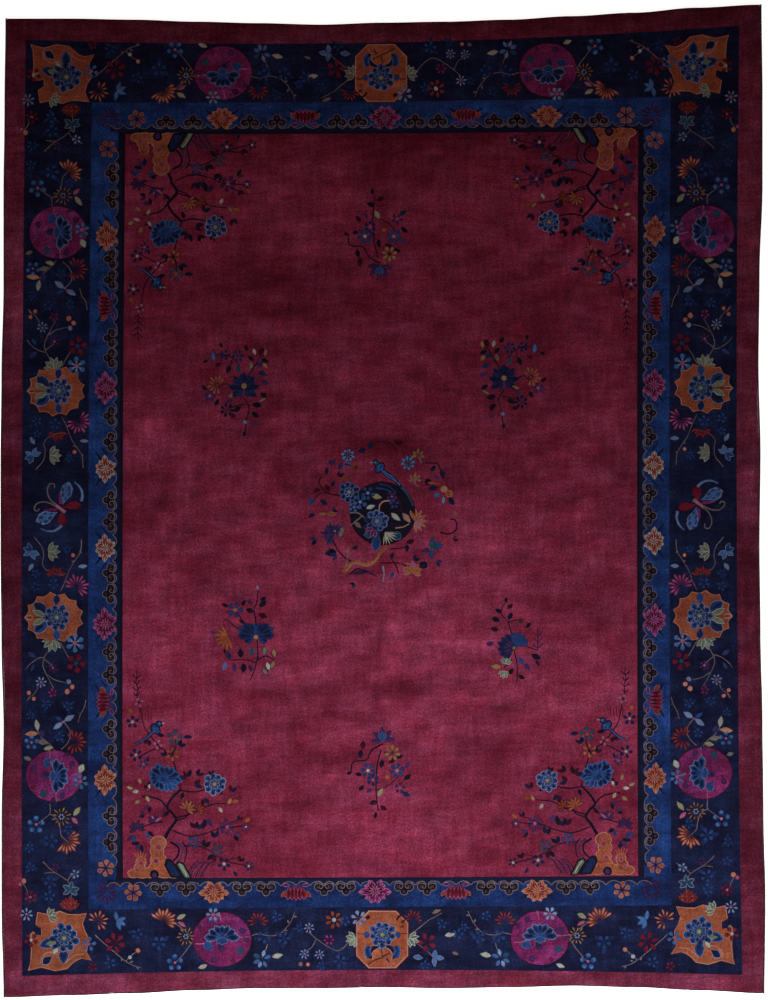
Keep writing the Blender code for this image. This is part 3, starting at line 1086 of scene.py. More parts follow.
def side_spray_between():
    """Tie the spray between the lower medallion and the disc of the right side."""
    blossom(682.5, 641, 9.5, "sky", "rose", "blue", petals=6, slim=1.1)
    blossom(682.5, 641, 5.5, "pale", None, None, petals=6, level=3)
    oak_leaf(706, 642.5, 290, 7)
    blossom(681.5, 661, 9.5, "red", "teal", "wine", slim=1.15)
    stem([(697.5, 640), (693, 648), (688.5, 656)])
    stem([(707.5, 646), (713, 655), (714.5, 663), (711, 672), (703.5, 686)])
    stem([(713, 655), (719, 656), (727, 661), (732, 667)])
    stem([(713, 657), (708, 661), (705, 664)])
    stem([(710.5, 672), (702, 677.5), (692, 679.5)])
    leaf(722, 655, 35, 9, 3.6, "blue", "violet")
    leaf(723, 662, 300, 8, 3.2, "blue", "navy")
    blossom(704.5, 665.5, 5.2, "violet", "rose", "wine", petals=6)
    bud(688.8, 679, 2.3, "pale", "blue")
    bud(685.3, 684, 2.3, "peach", "red")
    bud(690.2, 688.5, 2.6, "peach", "red")
    blossom(705, 690, 4.6, "magenta", None, "wine")
    blossom(716.5, 679.5, 5.6, "pale", "rose", "blue", petals=7, slim=0.8)
    stem([(719.5, 684), (722, 689), (726, 693)])
    bud(728.6, 690, 1.9, "peach", "red")
    bud(723.6, 695.6, 1.9, "peach", "red")
    leaf(726.5, 692, 305, 8, 1.8, "tan")
    stem([(671.5, 697), (673.5, 705), (677.5, 712), (679.5, 719)])
    twig_leaves([(671.5, 699), (674, 706), (678, 713), (680, 719)], "brown", 4, 1.8)
    leaf(693, 717.5, 150, 11, 4.6, "pale", "sky")
    leaf(695, 719, 325, 11, 4.6, "pale", "sky")
    leaf(695, 717.5, 30, 9, 3.8, "blue", "navy")
    bud(694, 718.5, 1.3, "rose")
    stem([(693.5, 719), (688, 726), (687.5, 734), (691, 740.5), (696.5, 745.5)])
    rays(683, 738, 13, 180, "red", "madder", 11, 260)
    leaf(719.5, 727, 80, 11, 4.2, "cream", "green")
    stem([(719.5, 727), (716.5, 733), (708.5, 739.5), (702.5, 747)])
    leaf(719.5, 729.5, 355, 13, 4.6, "peach", "gold")
    leaf(716.5, 733, 100, 6.5, 5, "violet", "blue")
    leaf(709.5, 739, 8, 11, 3.8, "tan", "green")
    leaf(704.5, 743, 348, 9, 3.8, "straw", "green")
    clover(726, 738.5, 7)
    dusky(698, 733, 6, 100)
    dusky(711, 701, 6, 30)
    dusky(727, 712, 5, 70)
    dusky(689, 703, 6, 10)
    leaf(726.5, 755.5, 20, 7, 2.6, "tan", "green")


def side_spray_to_corner():
    """Tie the spray between the disc and the corner panel of the right side."""
    leaf(678, 768, 115, 9, 5.6, "cream", "green", 4)
    blossom(677, 777, 7.6, "sky", "rose", "teal", petals=6, level=4)
    stem([(707.5, 799), (707.5, 808), (713, 813), (720.5, 818.5)])
    stem([(707.5, 809), (702, 812), (698, 820), (696, 830), (689, 836.5)])
    rays(696, 811.5, 11, 240, "brown", "gold", 12, 330, 1, "pale")
    leaf(684, 810.5, 128, 11, 4.4, "straw", "green")
    leaf(686, 812, 225, 9, 4, "rose", "red")
    clover(721.5, 819, 8.6)
    rays(691, 834, 15, 222, "madder", "peach", 10, 170)
    dusky(707, 835, 9, 350)
    dusky(689, 824, 6, 90)
    dusky(728, 842, 6, 200)
    stem([(714.5, 855.5), (709, 861), (702.5, 866), (690.5, 874), (686.5, 883), (686.5, 893)])
    stem([(702.5, 866), (708.5, 866), (713, 866.8)])
    blossom(701.5, 861, 4.2, "violet", None, "wine")
    twig_leaves([(714.5, 855.5), (709, 861), (704, 865)], "brown", 3.6, 1.6)
    blossom(682.5, 867.5, 4.6, "pale", "blue", "blue")
    stem([(690.5, 874), (686.5, 869.5), (676.5, 863)])
    for heading in (100, 170, 30, 215, 330):
        leaf(687, 883, heading, 8.2, 3.6, "teal", "pale")
    dusky(707, 876, 8, 10)
    dusky(727, 861, 6, 60)
    bud(733.5, 874.5, 2.4, "peach", "red")
    bud(737.5, 877.5, 1.8, "rose", "red")
    stem([(734.5, 877), (731, 882), (729.5, 888)])
    blossom(727, 890, 6.4, "red", "rose", "wine", petals=6)
    fan(688, 903, 13, 90, "red", "madder", sweep=110, slim=0.22)
    for n in range(6):
        bud(682.5 + 5 * (n % 3), 896 + 4 * (n // 3), 0.8, "orange", None, 6)
    blossom(731, 907, 6.6, "pale", "rose", "blue", petals=7, level=4, slim=0.8)
    dusky(708, 889, 7, 20)


# The sprays were drawn about the row of the right side's lower medallion. Each quarter of the
# sides has a column to mirror them at, its own medallion's row, and how far it stretches them.
SIDE_AXIS = 616
SIDE_QUARTERS = ((0, 616, 1), (757.5, 617.5, 1.02), (0, 388, -1), (759, 391, -1))


def side_quarter(mirror_column, middle_row, stretch):
    """Return a placing that carries the right side's lower sprays to another quarter."""
    def carry(u, v):
        """Carry one place."""
        if mirror_column:
            u = mirror_column - u
        return u, middle_row + (v - SIDE_AXIS) * stretch
    return carry


for mirror_column, middle_row, stretch in SIDE_QUARTERS:
    placing = side_quarter(mirror_column, middle_row, stretch)
    side_spray_by_butterfly()
    side_spray_between()
    side_spray_to_corner()


def end_spray_corner():
    """Tie the spray between the corner panel and the disc at the left of the near end."""
    rays(98, 921, 11.5, 45, "madder", "peach", 9, 250)
    for heading in (100, 20, 335, 290):
        leaf(117, 921, heading, 9.5, 3.8, "sky", "blue")
    blossom(115, 943, 10.5, "red", "wine", "wine", petals=6)
    dusky(110, 963, 7, 340)
    dusky(137, 934, 7, 30)
    stem([(95, 935), (104, 943), (118, 955), (130, 964), (141, 967.5)])
    twig_leaves([(118, 955), (126, 960), (133, 965), (141, 967)], "tan", 4, 1.8)
    stem([(126, 961), (132, 955), (137, 951.5)])
    bud(138, 950.5, 2.1, "peach", "red")
    bud(130, 957.5, 1.9, "cream", "blue")
    blossom(92.5, 967, 4.6, "red", None, "wine")
    rays(163, 922, 15, 60, "madder", "peach", 10, 170)
    leaf(177, 919, 28, 9.5, 3.8, "straw", "green")
    leaf(178, 922, 330, 9, 3.6, "rose", "red")
    rays(186, 936.5, 10.5, 200, "brown", "gold", 12, 330, 1, "pale")
    dusky(159, 943, 9, 20)
    clover(175, 962.5, 8.2)
    stem([(193.5, 940), (188, 948), (180, 958), (176, 962)])
    stem([(193, 938), (184, 930), (176, 924), (168, 918)])
    leaf(207, 965, 200, 9, 3.6, "cream", "tan", 4)
    blossom(213, 914.5, 6.8, "pale", "rose", "sky", petals=6, level=4)


def end_spray_middle():
    """Tie the spray on the inner side of the left disc at the near end."""
    rays(258, 922, 11, 90, "red", "madder", 9, 220)
    stem([(250.5, 936), (259, 934), (270, 936), (281, 933), (290, 923), (295, 912)])
    twig_leaves([(281, 933), (287, 927), (291, 920), (295, 913)], "tan", 4.2, 1.8)
    dusky(264, 937, 8.5, 60)
    dusky(284, 938, 8, 10)
    dusky(277, 917, 6, 100)
    for heading, yarn in (
        (20, "sky"), (75, "pale"), (150, "teal"), (205, "sky"), (300, "sky"), (250, "pale"),
    ):
        leaf(*step_from(262, 959, heading, 2.5), heading, 6.8, 3.6, yarn, "blue")
    stem([(262, 958), (266, 949), (270, 937)])
    leaf(272, 957, 12, 11, 4.4, "cream", "green")
    dusky(299, 928, 5, 60)


def end_spray_daisies():
    """Tie the daisy spray on the left of the near panel."""
    for row in ((309, 928, 5.4), (304.5, 954, 5), (319.5, 954.5, 5)):
        blossom(*row, "pale", "rose", "blue", petals=7, slim=0.75)
    blossom(334, 920, 9, "madder", "cream", "wine", petals=7)
    blossom(329, 940, 5.6, "magenta", None, "wine", petals=6)
    stem([(355, 936), (340, 950), (330, 948), (316, 938.5), (309, 932)])
    stem([(316, 939), (312, 947), (306, 951)])
    bud(300.5, 964, 2, "tan", "brown")
    bud(308, 964.5, 1.8, "peach", "red")
    dusky(340, 961, 8, 10)
    dusky(321, 966, 5, 60)
    dusky(345, 921, 6, 330)


def end_spray_leaves():
    """Tie the pale leaf spray on the left of the far panel, drawn as at the near end."""
    rays(350, 920, 10, 90, "red", "madder", 8)
    stem([(354, 936), (344, 929), (334, 921), (321, 914)])
    leaf(331, 914, 160, 9.5, 3.6, "tan", "brown")
    leaf(318, 936.5, 170, 10, 4.2, "cream", "green")
    blossom(336, 943, 9.5, "red", "wine", "wine")
    for heading, base in ((190, (328, 958)), (100, (329, 960)), (265, (329, 958))):
        leaf(*base, heading, 9, 4, "sky", "pale")
    leaf(350, 958, 185, 9.5, 4, "sky", "pale")
    leaf(311, 953, 200, 7, 3, "tan", "brown")
    stem([(329, 959), (337, 951), (347, 944)])
    dusky(305, 935, 7, 120)
    dusky(321, 925, 6, 40)
    dusky(338, 966, 6, 90)


def mirrored(mirror_column, mirror_row, shift_column, shift_row):
    """Return a placing that turns a drawing over at a column, a row or neither, and shifts it."""
    def carry(u, v):
        """Carry one place."""
        if mirror_column:
            u = mirror_column - u
        if mirror_row:
            v = mirror_row - v
        return u + shift_column, v + shift_row
    return carry


for mirror_column, mirror_row, shift_row, inner_spray in (
    (0, 0, 0, end_spray_daisies), (763, 0, -1, end_spray_leaves),
    (0, 1012, 0, end_spray_leaves), (770, 1008.5, 0, end_spray_daisies),
):
    placing = mirrored(mirror_column, mirror_row, 0, shift_row)
    end_spray_corner()
    end_spray_middle()
    inner_spray()

# Field corners.
# In each corner of the field an orange garden rock stands with blue and green stones, grass
# and a flowering tree, on which a long-tailed bird sits. The far corners hang upside down.


def boulders(rim, fill, rounds, level):
    """Tie rock from round lumps that run together, with one rim round them all."""
    for u, v, across, along in rounds:
        oval(rim, u, v, across + 0.8, along + 0.8, level, points=14)
    for u, v, across, along in rounds:
        oval(fill, u, v, across, along, level + 1, points=14)


def cluster(u, v, heading, size, yarns):
    """Tie pointed leaves from one stalk, a yarn for each."""
    for n, yarn in enumerate(yarns):
        turn = heading + (n - (len(yarns) - 1) / 2) * 46
        base = step_from(u, v, turn, 0.15 * size)
        leaf(*base, turn, size * (1 - 0.12 * (n % 2)), 0.5 * size, yarn, None, 1 + n % 2)


def garden():
    """Tie the rock, its stones and the grass at the left of the near end."""
    boulders("peach", "orange", (
        (158.5, 843, 7.6, 6.6), (157, 851, 6.6, 6), (158.5, 860, 7.6, 7), (157, 869, 8, 7.5),
        (141, 862, 4.6, 5), (139.5, 868, 5.2, 4.6), (134, 873.5, 6, 4), (142, 873.5, 7, 4.4),
        (150, 872.5, 6, 5), (165, 873.5, 7, 4.2), (173, 874.5, 7, 3.2),
    ), 1)
    for n in range(5):
        line("orange", [(139.5 + 0.6 * n, 861), (134.5 + 3 * n, 850.5 + 1.5 * abs(n - 2))], 1.6, 2, 0.6, 1)
    for u, v, size in (
        (158.5, 847, 2.6), (156, 861, 2.1), (160, 839.5, 1.3), (141, 863, 1.5), (137, 870, 1.3),
    ):
        oval("rose", u, v, size + 0.9, size + 0.9, 3)
        oval("madder", u, v, size, size, 4)
    oval("ink", 154.5, 874.5, 4.6, 4.6, 4, points=12)
    oval("violet", 154.5, 875, 2.6, 2.8, 5, points=8)
    patch("ink", [(171, 878), (164, 865), (166, 859), (171, 859), (178, 867), (184, 878)], 4, 2)
    patch("dusk", [(172, 876), (166.5, 866), (168, 861), (172, 862), (180, 876)], 5)
    patch("ink", [(184.5, 878.5), (175.5, 864), (178, 861), (184, 863), (192.5, 878.5)], 4)
    patch("green", [(185.5, 877.5), (177.5, 865), (179, 862.5), (183, 864.5), (190, 877.5)], 5)
    line("cream", [(180, 864), (184, 870), (187, 876.5)], 0.8, 6)
    for n in range(8):
        foot = 189 + 2.4 * n
        line("violet" if n % 2 else "ink", [
            (foot - 3, 877), (foot, 871 - n % 3), (foot + 6, 863 - 2 * (n % 2)), (foot + 10, 862.5 + n % 3),
        ], 1.2, 1, 0.4)
    for n, (u, bow) in enumerate(((170, 8), (176, 6), (182, 4))):
        line("ink" if n != 1 else "violet", [
            (u, 842), (u + bow, 847), (u + bow, 855), (u + 2, 862),
        ], 2.4 - 0.5 * n, 1, 0.7)


def bird(u, v, facing):
    """Tie a small dark bird with pale strokes and a long tail, facing 1 right or -1 left."""
    for yarn, width, level in (("ink", 4, 2), ("blue", 2.2, 3), ("sky", 0.8, 4)):
        line(yarn, [(u, v), (u - 9 * facing, v + 9), (u - 21 * facing, v + 16)], width, level, 0.5)
    oval("ink", u, v, 6.6, 4.6, 3, -45 * facing)
    oval("blue", u, v, 5.4, 3.4, 4, -45 * facing)
    for ahead, aside in ((-2.5, -1.2), (-0.5, 1.2), (1.8, -0.8)):
        spot = step_from(u, v, 45 if facing > 0 else 135, ahead, aside)
        oval("sky", *spot, 1.5, 0.8, 5, -45 * facing, 6)
    head = (u + 3.6 * facing, v - 5.2)
    oval("ink", *head, 3.7, 3.5, 4, points=8)
    oval("blue", *head, 2.6, 2.4, 5, points=8)
    oval("pale", head[0] + 0.6 * facing, head[1] - 0.3, 0.8, 0.8, 6, points=6)
    patch("straw", petal_loop(head[0] + 2.4 * facing, head[1], 90 - 80 * facing, 4.2, 1.6, 0.8), 5)


# Leaves of a corner's tree: place, heading, size and a yarn for each leaf from the stalk.
TREE_LEAVES = (
    (188, 779, 120, 9, ("ink", "wine", "navy")), (196, 776, 40, 8, ("wine", "ink")),
    (193, 785, 10, 9, ("navy", "wine")), (184, 791, 250, 8, ("ink",)),
    (203, 797, 290, 9, ("wine", "navy")), (206, 817, 280, 11, ("ink", "violet")),
    (198, 820, 250, 8, ("violet",)), (196, 830, 80, 9, ("navy", "ink", "wine")),
    (203, 848, 60, 9, ("ink", "navy")), (216, 839, 100, 9, ("navy", "ink")),
    (214, 853, 250, 9, ("ink", "wine")), (150, 790, 120, 8, ("ink", "wine")),
    (151, 805, 230, 8, ("violet", "ink")), (170, 812, 210, 8, ("wine",)),
    (230, 793, 60, 8, ("navy", "wine")), (224, 795, 150, 7, ("ink",)),
    (166, 757, 120, 7, ("ink", "navy")), (178, 747, 40, 8, ("navy", "ink")),
    (182, 737, 0, 9, ("navy",)), (166, 736, 170, 8, ("ink",)), (150, 739, 240, 7, ("wine", "ink")),
    (147, 763, 100, 6, ("navy", "violet")), (233, 834, 330, 8, ("ink", "violet")),
    (238, 821, 60, 6, ("wine", "navy")), (238, 862, 50, 7, ("ink", "wine")),
    (233, 870, 300, 7, ("navy",)), (141, 843, 230, 9, ("ink", "violet", "navy")),
    (134, 834, 250, 9, ("violet", "blue")), (147, 831, 300, 8, ("blue", "ink")),
    (163, 816, 60, 7, ("ink", "violet")), (146, 816, 160, 7, ("violet", "ink")),
    (212, 776, 100, 6, ("wine", "ink")),
)


def dark_star(u, v, size, heart="cream", yarn="navy", edge="violet"):
    """Tie a small dark flower with a thin violet rim and a pale heart."""
    blossom(u, v, size, yarn, heart, edge)


def field_tree():
    """Tie the flowering tree and its bird at the left of the near end."""
    for route, width in (
        (((165, 838), (170, 829), (176, 820), (172, 813), (167, 807), (173, 797), (181, 789)), 3.2),
        (((167, 807), (160, 800), (151, 797), (142, 796)), 1.9),
        (((175, 821), (186, 817), (190, 809)), 1.5),
        (((176, 818), (196, 812), (210, 805), (226, 803)), 1.4),
        (((181, 789), (176, 770), (171, 756), (160, 748), (148, 752), (139, 757)), 1.4),
        (((160, 748), (152, 738), (144, 726), (141, 712), (139, 700)), 1.3),
        (((171, 756), (176, 746), (175, 738)), 1.2),
        (((181, 790), (192, 792), (204, 790), (212, 786)), 1.6),
        (((172, 830), (188, 836), (204, 834), (221, 828), (245, 826)), 1.3),
        (((184, 846), (198, 846), (212, 852), (226, 861), (248, 866)), 1.3),
        (((163, 822), (150, 824), (139, 829)), 1.3), (((221, 828), (232, 822), (240, 820)), 1.1),
        (((226, 861), (236, 858), (243, 860)), 1),
    ):
        stem(route, "ink", width)
    for row in TREE_LEAVES:
        cluster(*row)
    lotus(165, 778, 17, 78)
    lotus(160, 777, 14, 190)
    fan(168, 781, 12, 320, "blue", "sky", petals=5, sweep=120, level=3, slim=0.36)
    peony(214.5, 784, 11, 20, "gold", level=2)
    fan(187, 809, 10, 60, "orange", "wine", sweep=200, slim=0.26, level=2)
    fan(198, 810, 8, 30, "madder", "wine", petals=5, sweep=150, slim=0.28, level=2)
    for u, v, heading, yarn in (
        (141, 784, 110, "gold"), (147, 790, 60, "cream"), (139, 791, 190, "cream"),
        (140, 800, 215, "gold"), (146, 796, 300, "straw"), (133, 789, 160, "straw"),
        (228, 804, 60, "gold"), (219, 807, 300, "cream"), (232, 802, 10, "orange"),
        (245, 822, 40, "orange"),
    ):
        leaf(u, v, heading, 6.5, 3.4, yarn, "madder", 2)
    for n in range(7):
        yarn = "rose" if n % 3 == 1 else "violet"
        petal(155, 822, 10 + 27 * n, 8.5 if n % 2 else 7, 2.4, yarn, "ink", 2 + n % 2, 1, 0.5)
    fan(137, 829, 9, 100, "violet", "ink", petals=6, sweep=210, slim=0.28, level=2)
    dark_star(194, 842, 6.5, "teal", "blue", "ink")
    dark_star(217, 850, 6.2, "violet", "teal", "ink")
    blossom(227, 827, 8, "violet", "rose", "ink", petals=6, level=2)
    dark_star(224, 864, 6.6)
    dark_star(246, 827, 4.6, "cream", "violet", "wine")
    dark_star(249, 866, 4.8)
    blossom(172.5, 754, 7.4, "orange", "wine", "wine", petals=6, level=2)
    dark_star(175, 737.5, 7.6, "orange", "teal", "navy")
    blossom(158, 744.5, 4.8, "rose", "wine", "madder", petals=4, level=2)
    blossom(139, 702.5, 5, "rose", "wine", "wine", petals=4, level=2)
    dark_star(136, 755, 6.6)
    dark_star(132.5, 722, 6.4)
    dark_star(143.5, 764, 4.6, "rose", "dusk")
    for n in range(5):
        line("red", [(139 + 3 * n, 720), (140 + 3 * n, 709.5 + n % 2)], 1.4, 1, 0.7, 1)
    bud(130.5, 711, 2, "orange", "madder")
    bird(155.5, 729, 1)
    twig = ((139, 703), (137, 696), (138, 689), (136, 683), (137, 677), (137, 670))
    stem(twig, "ink", 1.1)
    for n in range(4):
        row = 674 + 6 * n
        line("ink", [(132.5 + n % 2, row + 1), (137, row + 4), (141 - n % 2, row)], 1.2, 1, 0.8, 2)


# Each corner has a column and a row to mirror the drawing at, or 0, a shift to the right that
# is full at the rock and slight up in the tree, and a shift down.
CORNERS = ((0, 0, 0, 0), (762, 0, 0, -3.5), (0, 1011, 3, 0), (763.5, 1006, 0, 0))
ROCK_ROW = 830
TREE_SHIFT = 0.3


def corner_placing(mirror_column, mirror_row, shift_column, shift_row):
    """Return a placing that carries the left corner of the near end to another corner."""
    def carry(u, v):
        """Carry one place."""
        shift = shift_column * (1 if v > ROCK_ROW else TREE_SHIFT)
        return mirrored(mirror_column, mirror_row, shift, shift_row)(u, v)
    return carry


for corner in CORNERS:
    placing = corner_placing(*corner)
    garden()
    field_tree()

# Field sprays.
# Six loose sprays stand in the field round its middle, each of one large flower or fan with
# small blossoms, buds and dark leaves on short dark stems. Four are drawn, and two of them
# return turned over.


def leaves_at(rows):
    """Tie single leaves from a table of place, heading, size and yarn."""
    for u, v, heading, size, yarn in rows:
        leaf(u, v, heading, size, 0.58 * size, yarn)


def upper_spray():
    """Tie the upper spray of the right half of the field."""
    for route in (
        ((500, 368), (492, 356), (487, 346), (488, 338)), ((508, 364), (511, 354), (524, 347), (536, 348)),
        ((504, 390), (499, 399), (501, 411), (503, 424)), ((514, 380), (524, 376), (536, 387)),
        ((502, 396), (512, 398), (523, 402)), ((487, 350), (482, 344)), ((516, 352), (519, 362)),
    ):
        stem(route, "ink", 1.2)
    leaves_at((
        (489, 347, 120, 9, "wine"), (487, 351, 200, 8, "ink"), (492, 357, 165, 8, "dusk"),
        (494, 353, 40, 8, "ink"), (490, 364, 200, 9, "dusk"), (511, 357, 250, 8, "teal"),
        (518, 357, 290, 9, "ink"), (527, 355, 330, 7, "wine"), (496, 396, 190, 10, "ink"),
        (496, 404, 220, 9, "ink"), (507, 399, 330, 9, "ink"), (500, 343, 60, 7, "ink"),
        (529, 391, 300, 8, "ink"), (487, 374, 190, 8, "violet"), (488, 385, 210, 8, "ink"),
        (512, 409, 20, 8, "wine"), (495, 415, 200, 7, "violet"), (541, 382, 40, 7, "ink"),
        (526, 340, 70, 6, "ink"), (540, 352, 330, 6, "ink"), (503, 423, 280, 6, "ink"),
        (515, 391, 330, 8, "violet"),
    ))
    fan(504, 381, 17, 90, "navy", "violet", sweep=240, level=2, slim=0.36)
    blossom(504, 378, 12, "dusk", "gold", "violet", petals=8, level=4, slim=1.1)
    rays(531, 377, 11, 20, "orange", "gold", 9, 240, 2, "brown")
    blossom(538, 388, 5.4, "violet", "pale", "dusk", level=2, slim=1.2)
    blossom(510, 348, 6, "dusk", "violet", "violet", petals=6, level=2, slim=1.2)
    blossom(523, 347, 5.2, "dusk", "ink", "violet", level=2, slim=1.2)
    leaf(534, 353, 82, 9, 4.4, "sky", "violet", 2)
    blossom(521, 402, 7, "ink", "violet", "violet", petals=7, level=2)
    bud(503, 414, 2, "pale", "violet")
    for row in (
        (483, 348, 100, "gold"), (493, 347, 80, "cream"), (485, 355, 230, "gold"),
        (496, 354, 285, "green"),
    ):
        leaf(*row[:3], 7, 3.6, row[3], "madder", 2)
    leaf(512, 386, 340, 8, 3.4, "gold", "madder", 2)
    leaf(489, 394, 150, 8, 3.2, "gold", "ink", 2)


def lotus_spray():
    """Tie the lower spray of the left half of the field, with a broad lotus."""
    for route in (
        ((257, 640), (256, 622), (254, 610), (257, 601), (258, 590)),
        ((257, 640), (258, 655), (255, 668), (250, 681)),
        ((246, 637), (238, 629), (228, 621), (224, 619)), ((246, 627), (241, 618), (237, 612)),
        ((257, 660), (266, 656), (274, 660)), ((256, 663), (246, 660), (230, 660)),
    ):
        stem(route, "ink", 1.3)
    leaves_at((
        (259, 607, 40, 10, "ink"), (258, 614, 340, 10, "wine"), (254, 612, 160, 9, "ink"),
        (253, 604, 150, 7, "violet"), (260, 600, 20, 7, "ink"), (241, 658, 95, 10, "ink"),
        (251, 656, 80, 9, "teal"), (244, 663, 265, 10, "ink"), (230, 660, 110, 9, "dusk"),
        (226, 662, 250, 9, "sky"), (234, 663, 275, 9, "violet"), (249, 664, 290, 8, "violet"),
        (228, 607, 150, 7, "ink"), (242, 606, 60, 7, "ink"), (226, 648, 250, 6, "ink"),
        (239, 620, 330, 7, "ink"), (258, 590, 100, 5, "pale"), (216, 634, 160, 6, "violet"),
    ))
    for side in (-1, 1):
        for n, (lean, reach) in enumerate(((20, 14), (42, 18), (63, 20), (84, 18), (112, 12))):
            turn = 90 - side * lean
            petal(256, 637, turn, reach, 7.6, "dusk" if n % 2 else "blue", "violet", 2 + n % 2, 2, 0.8)
            patch("navy", petal_loop(*step_from(256, 637, turn, 5), turn, 0.6 * reach, 2.6, 1.8), 5)
    bud(256, 637, 2.2, "peach", "madder", 6)
    blossom(235, 610, 7.6, "blue", "gold", "navy", level=2, slim=1.2)
    for n in range(8):
        turn = 120 + 24 * n
        petal(228, 637, turn, 14 - n % 2, 2.8, "orange", "madder", 2 + n % 2, 1.2)
    for u, v, heading, yarn in (
        (264, 655, 80, "green"), (275, 657, 100, "gold"), (267, 662, 285, "cream"),
        (274, 661, 250, "gold"), (263, 668, 300, "tan"),
    ):
        leaf(u, v, heading, 8.5, 4.2, yarn, "wine", 2)


def fan_spray():
    """Tie the lower spray of the right half of the field, with two fans of petals."""
    for route in (
        ((512, 636), (508, 622), (501, 613), (505, 603)), ((514, 650), (517, 664), (517, 683)),
        ((520, 642), (530, 648), (538, 650)), ((508, 622), (516, 620), (521, 622)),
        ((512, 660), (503, 668)),
    ):
        stem(route, "ink", 1.2)
    leaves_at((
        (500, 621, 160, 9, "ink"), (499, 630, 170, 9, "wine"), (508, 620, 60, 9, "ink"),
        (502, 613, 150, 8, "ink"), (507, 609, 40, 8, "wine"), (531, 655, 340, 11, "ink"),
        (519, 657, 300, 9, "blue"), (524, 664, 320, 9, "violet"), (513, 668, 240, 8, "ink"),
        (518, 675, 330, 8, "ink"), (506, 603, 90, 6, "ink"), (494, 643, 190, 8, "violet"),
        (526, 628, 50, 7, "ink"), (536, 660, 300, 7, "wine"),
    ))
    fan(514, 648, 17, 163, "dusk", "violet", sweep=130, slim=0.36, fullness=1.8, level=2)
    fan(514, 649, 12, 168, "violet", "navy", petals=5, sweep=90, slim=0.26, level=5)
    fan(515, 648, 17, 62, "blue", "violet", petals=4, sweep=66, slim=0.36, fullness=1.8, level=3)
    bud(514, 648, 1.8, "green", "ink", 8)
    bud(521, 621, 2.6, "brown", "madder")
    oak_leaf(506, 661, 80, 4, 2)
    oak_leaf(504, 674, 265, 4, 2)
    leaf(501, 667, 175, 10, 5, "gold", "madder", 2)
    for n in range(3):
        row = 631 + 6 * n
        line("violet", [(533 + n % 2, row + 1), (538, row + 5), (543 - n % 2, row)], 1.2, 1, 0.8, 2)
    line("ink", [(538, 650), (538, 628)], 1.1, 1, 0.8, 1)


def middle_spray():
    """Tie the spray between the field's middle and its near end."""
    for route, width in (
        (((383, 744), (372, 750), (366, 760), (353, 762), (351, 773)), 1.6),
        (((381, 750), (377, 767), (376, 790), (378, 811)), 1.5),
        (((377, 790), (389, 785), (399, 776)), 1.1), (((378, 772), (370, 776)), 1),
        (((384, 752), (391, 755)), 1),
    ):
        stem(route, "ink", width)
    leaves_at((
        (363, 750, 90, 10, "wine"), (360, 758, 80, 9, "ink"), (386, 748, 60, 6, "orange"),
        (381, 768, 80, 9, "ink"), (404, 780, 40, 9, "ink"), (402, 792, 330, 9, "dusk"),
        (378, 801, 200, 9, "ink"), (364, 785, 230, 8, "ink"), (376, 812, 260, 7, "ink"),
        (388, 763, 30, 9, "wine"), (405, 768, 50, 8, "violet"), (380, 806, 330, 8, "wine"),
        (362, 775, 170, 7, "ink"), (396, 758, 20, 8, "ink"), (372, 789, 210, 7, "violet"),
        (352, 772, 200, 6, "ink"),
    ))
    fan(383, 741, 14, 95, "violet", "dusk", petals=5, slim=0.27, level=2)
    fan(383, 741, 9, 95, "blue", "sky", petals=3, sweep=50, level=6, slim=0.26)
    blossom(392.5, 753, 8, "gold", "brown", "madder", petals=7, level=2, slim=1.1)
    for row in (
        (368, 770.5, 7.4, "blue", "cream", "dusk"), (397, 770.5, 7.6, "blue", "pale", "dusk"),
        (373, 780, 6, "dusk", "rose", "violet"),
    ):
        blossom(*row, petals=6, level=2, slim=1.2)
    bud(387, 777, 2.2, "orange", "madder")
    leaf(378, 796, 60, 9, 3.8, "straw", "gold")
    blossom(400, 788, 5.4, "violet", "rose", "ink", level=2)


placing = straight
upper_spray()
lotus_spray()
fan_spray()
middle_spray()
placing = mirrored(748, 0, 0, 8)
upper_spray()
placing = mirrored(0, 1007, -3, 0)
middle_spray()

# Middle of the field.
# A dark disc with a peony, broad leaves and a bird lies at the very middle, in a loose ring of
# flowers, arched plum stems, an orange root and grass, all tied in the wool of the field.


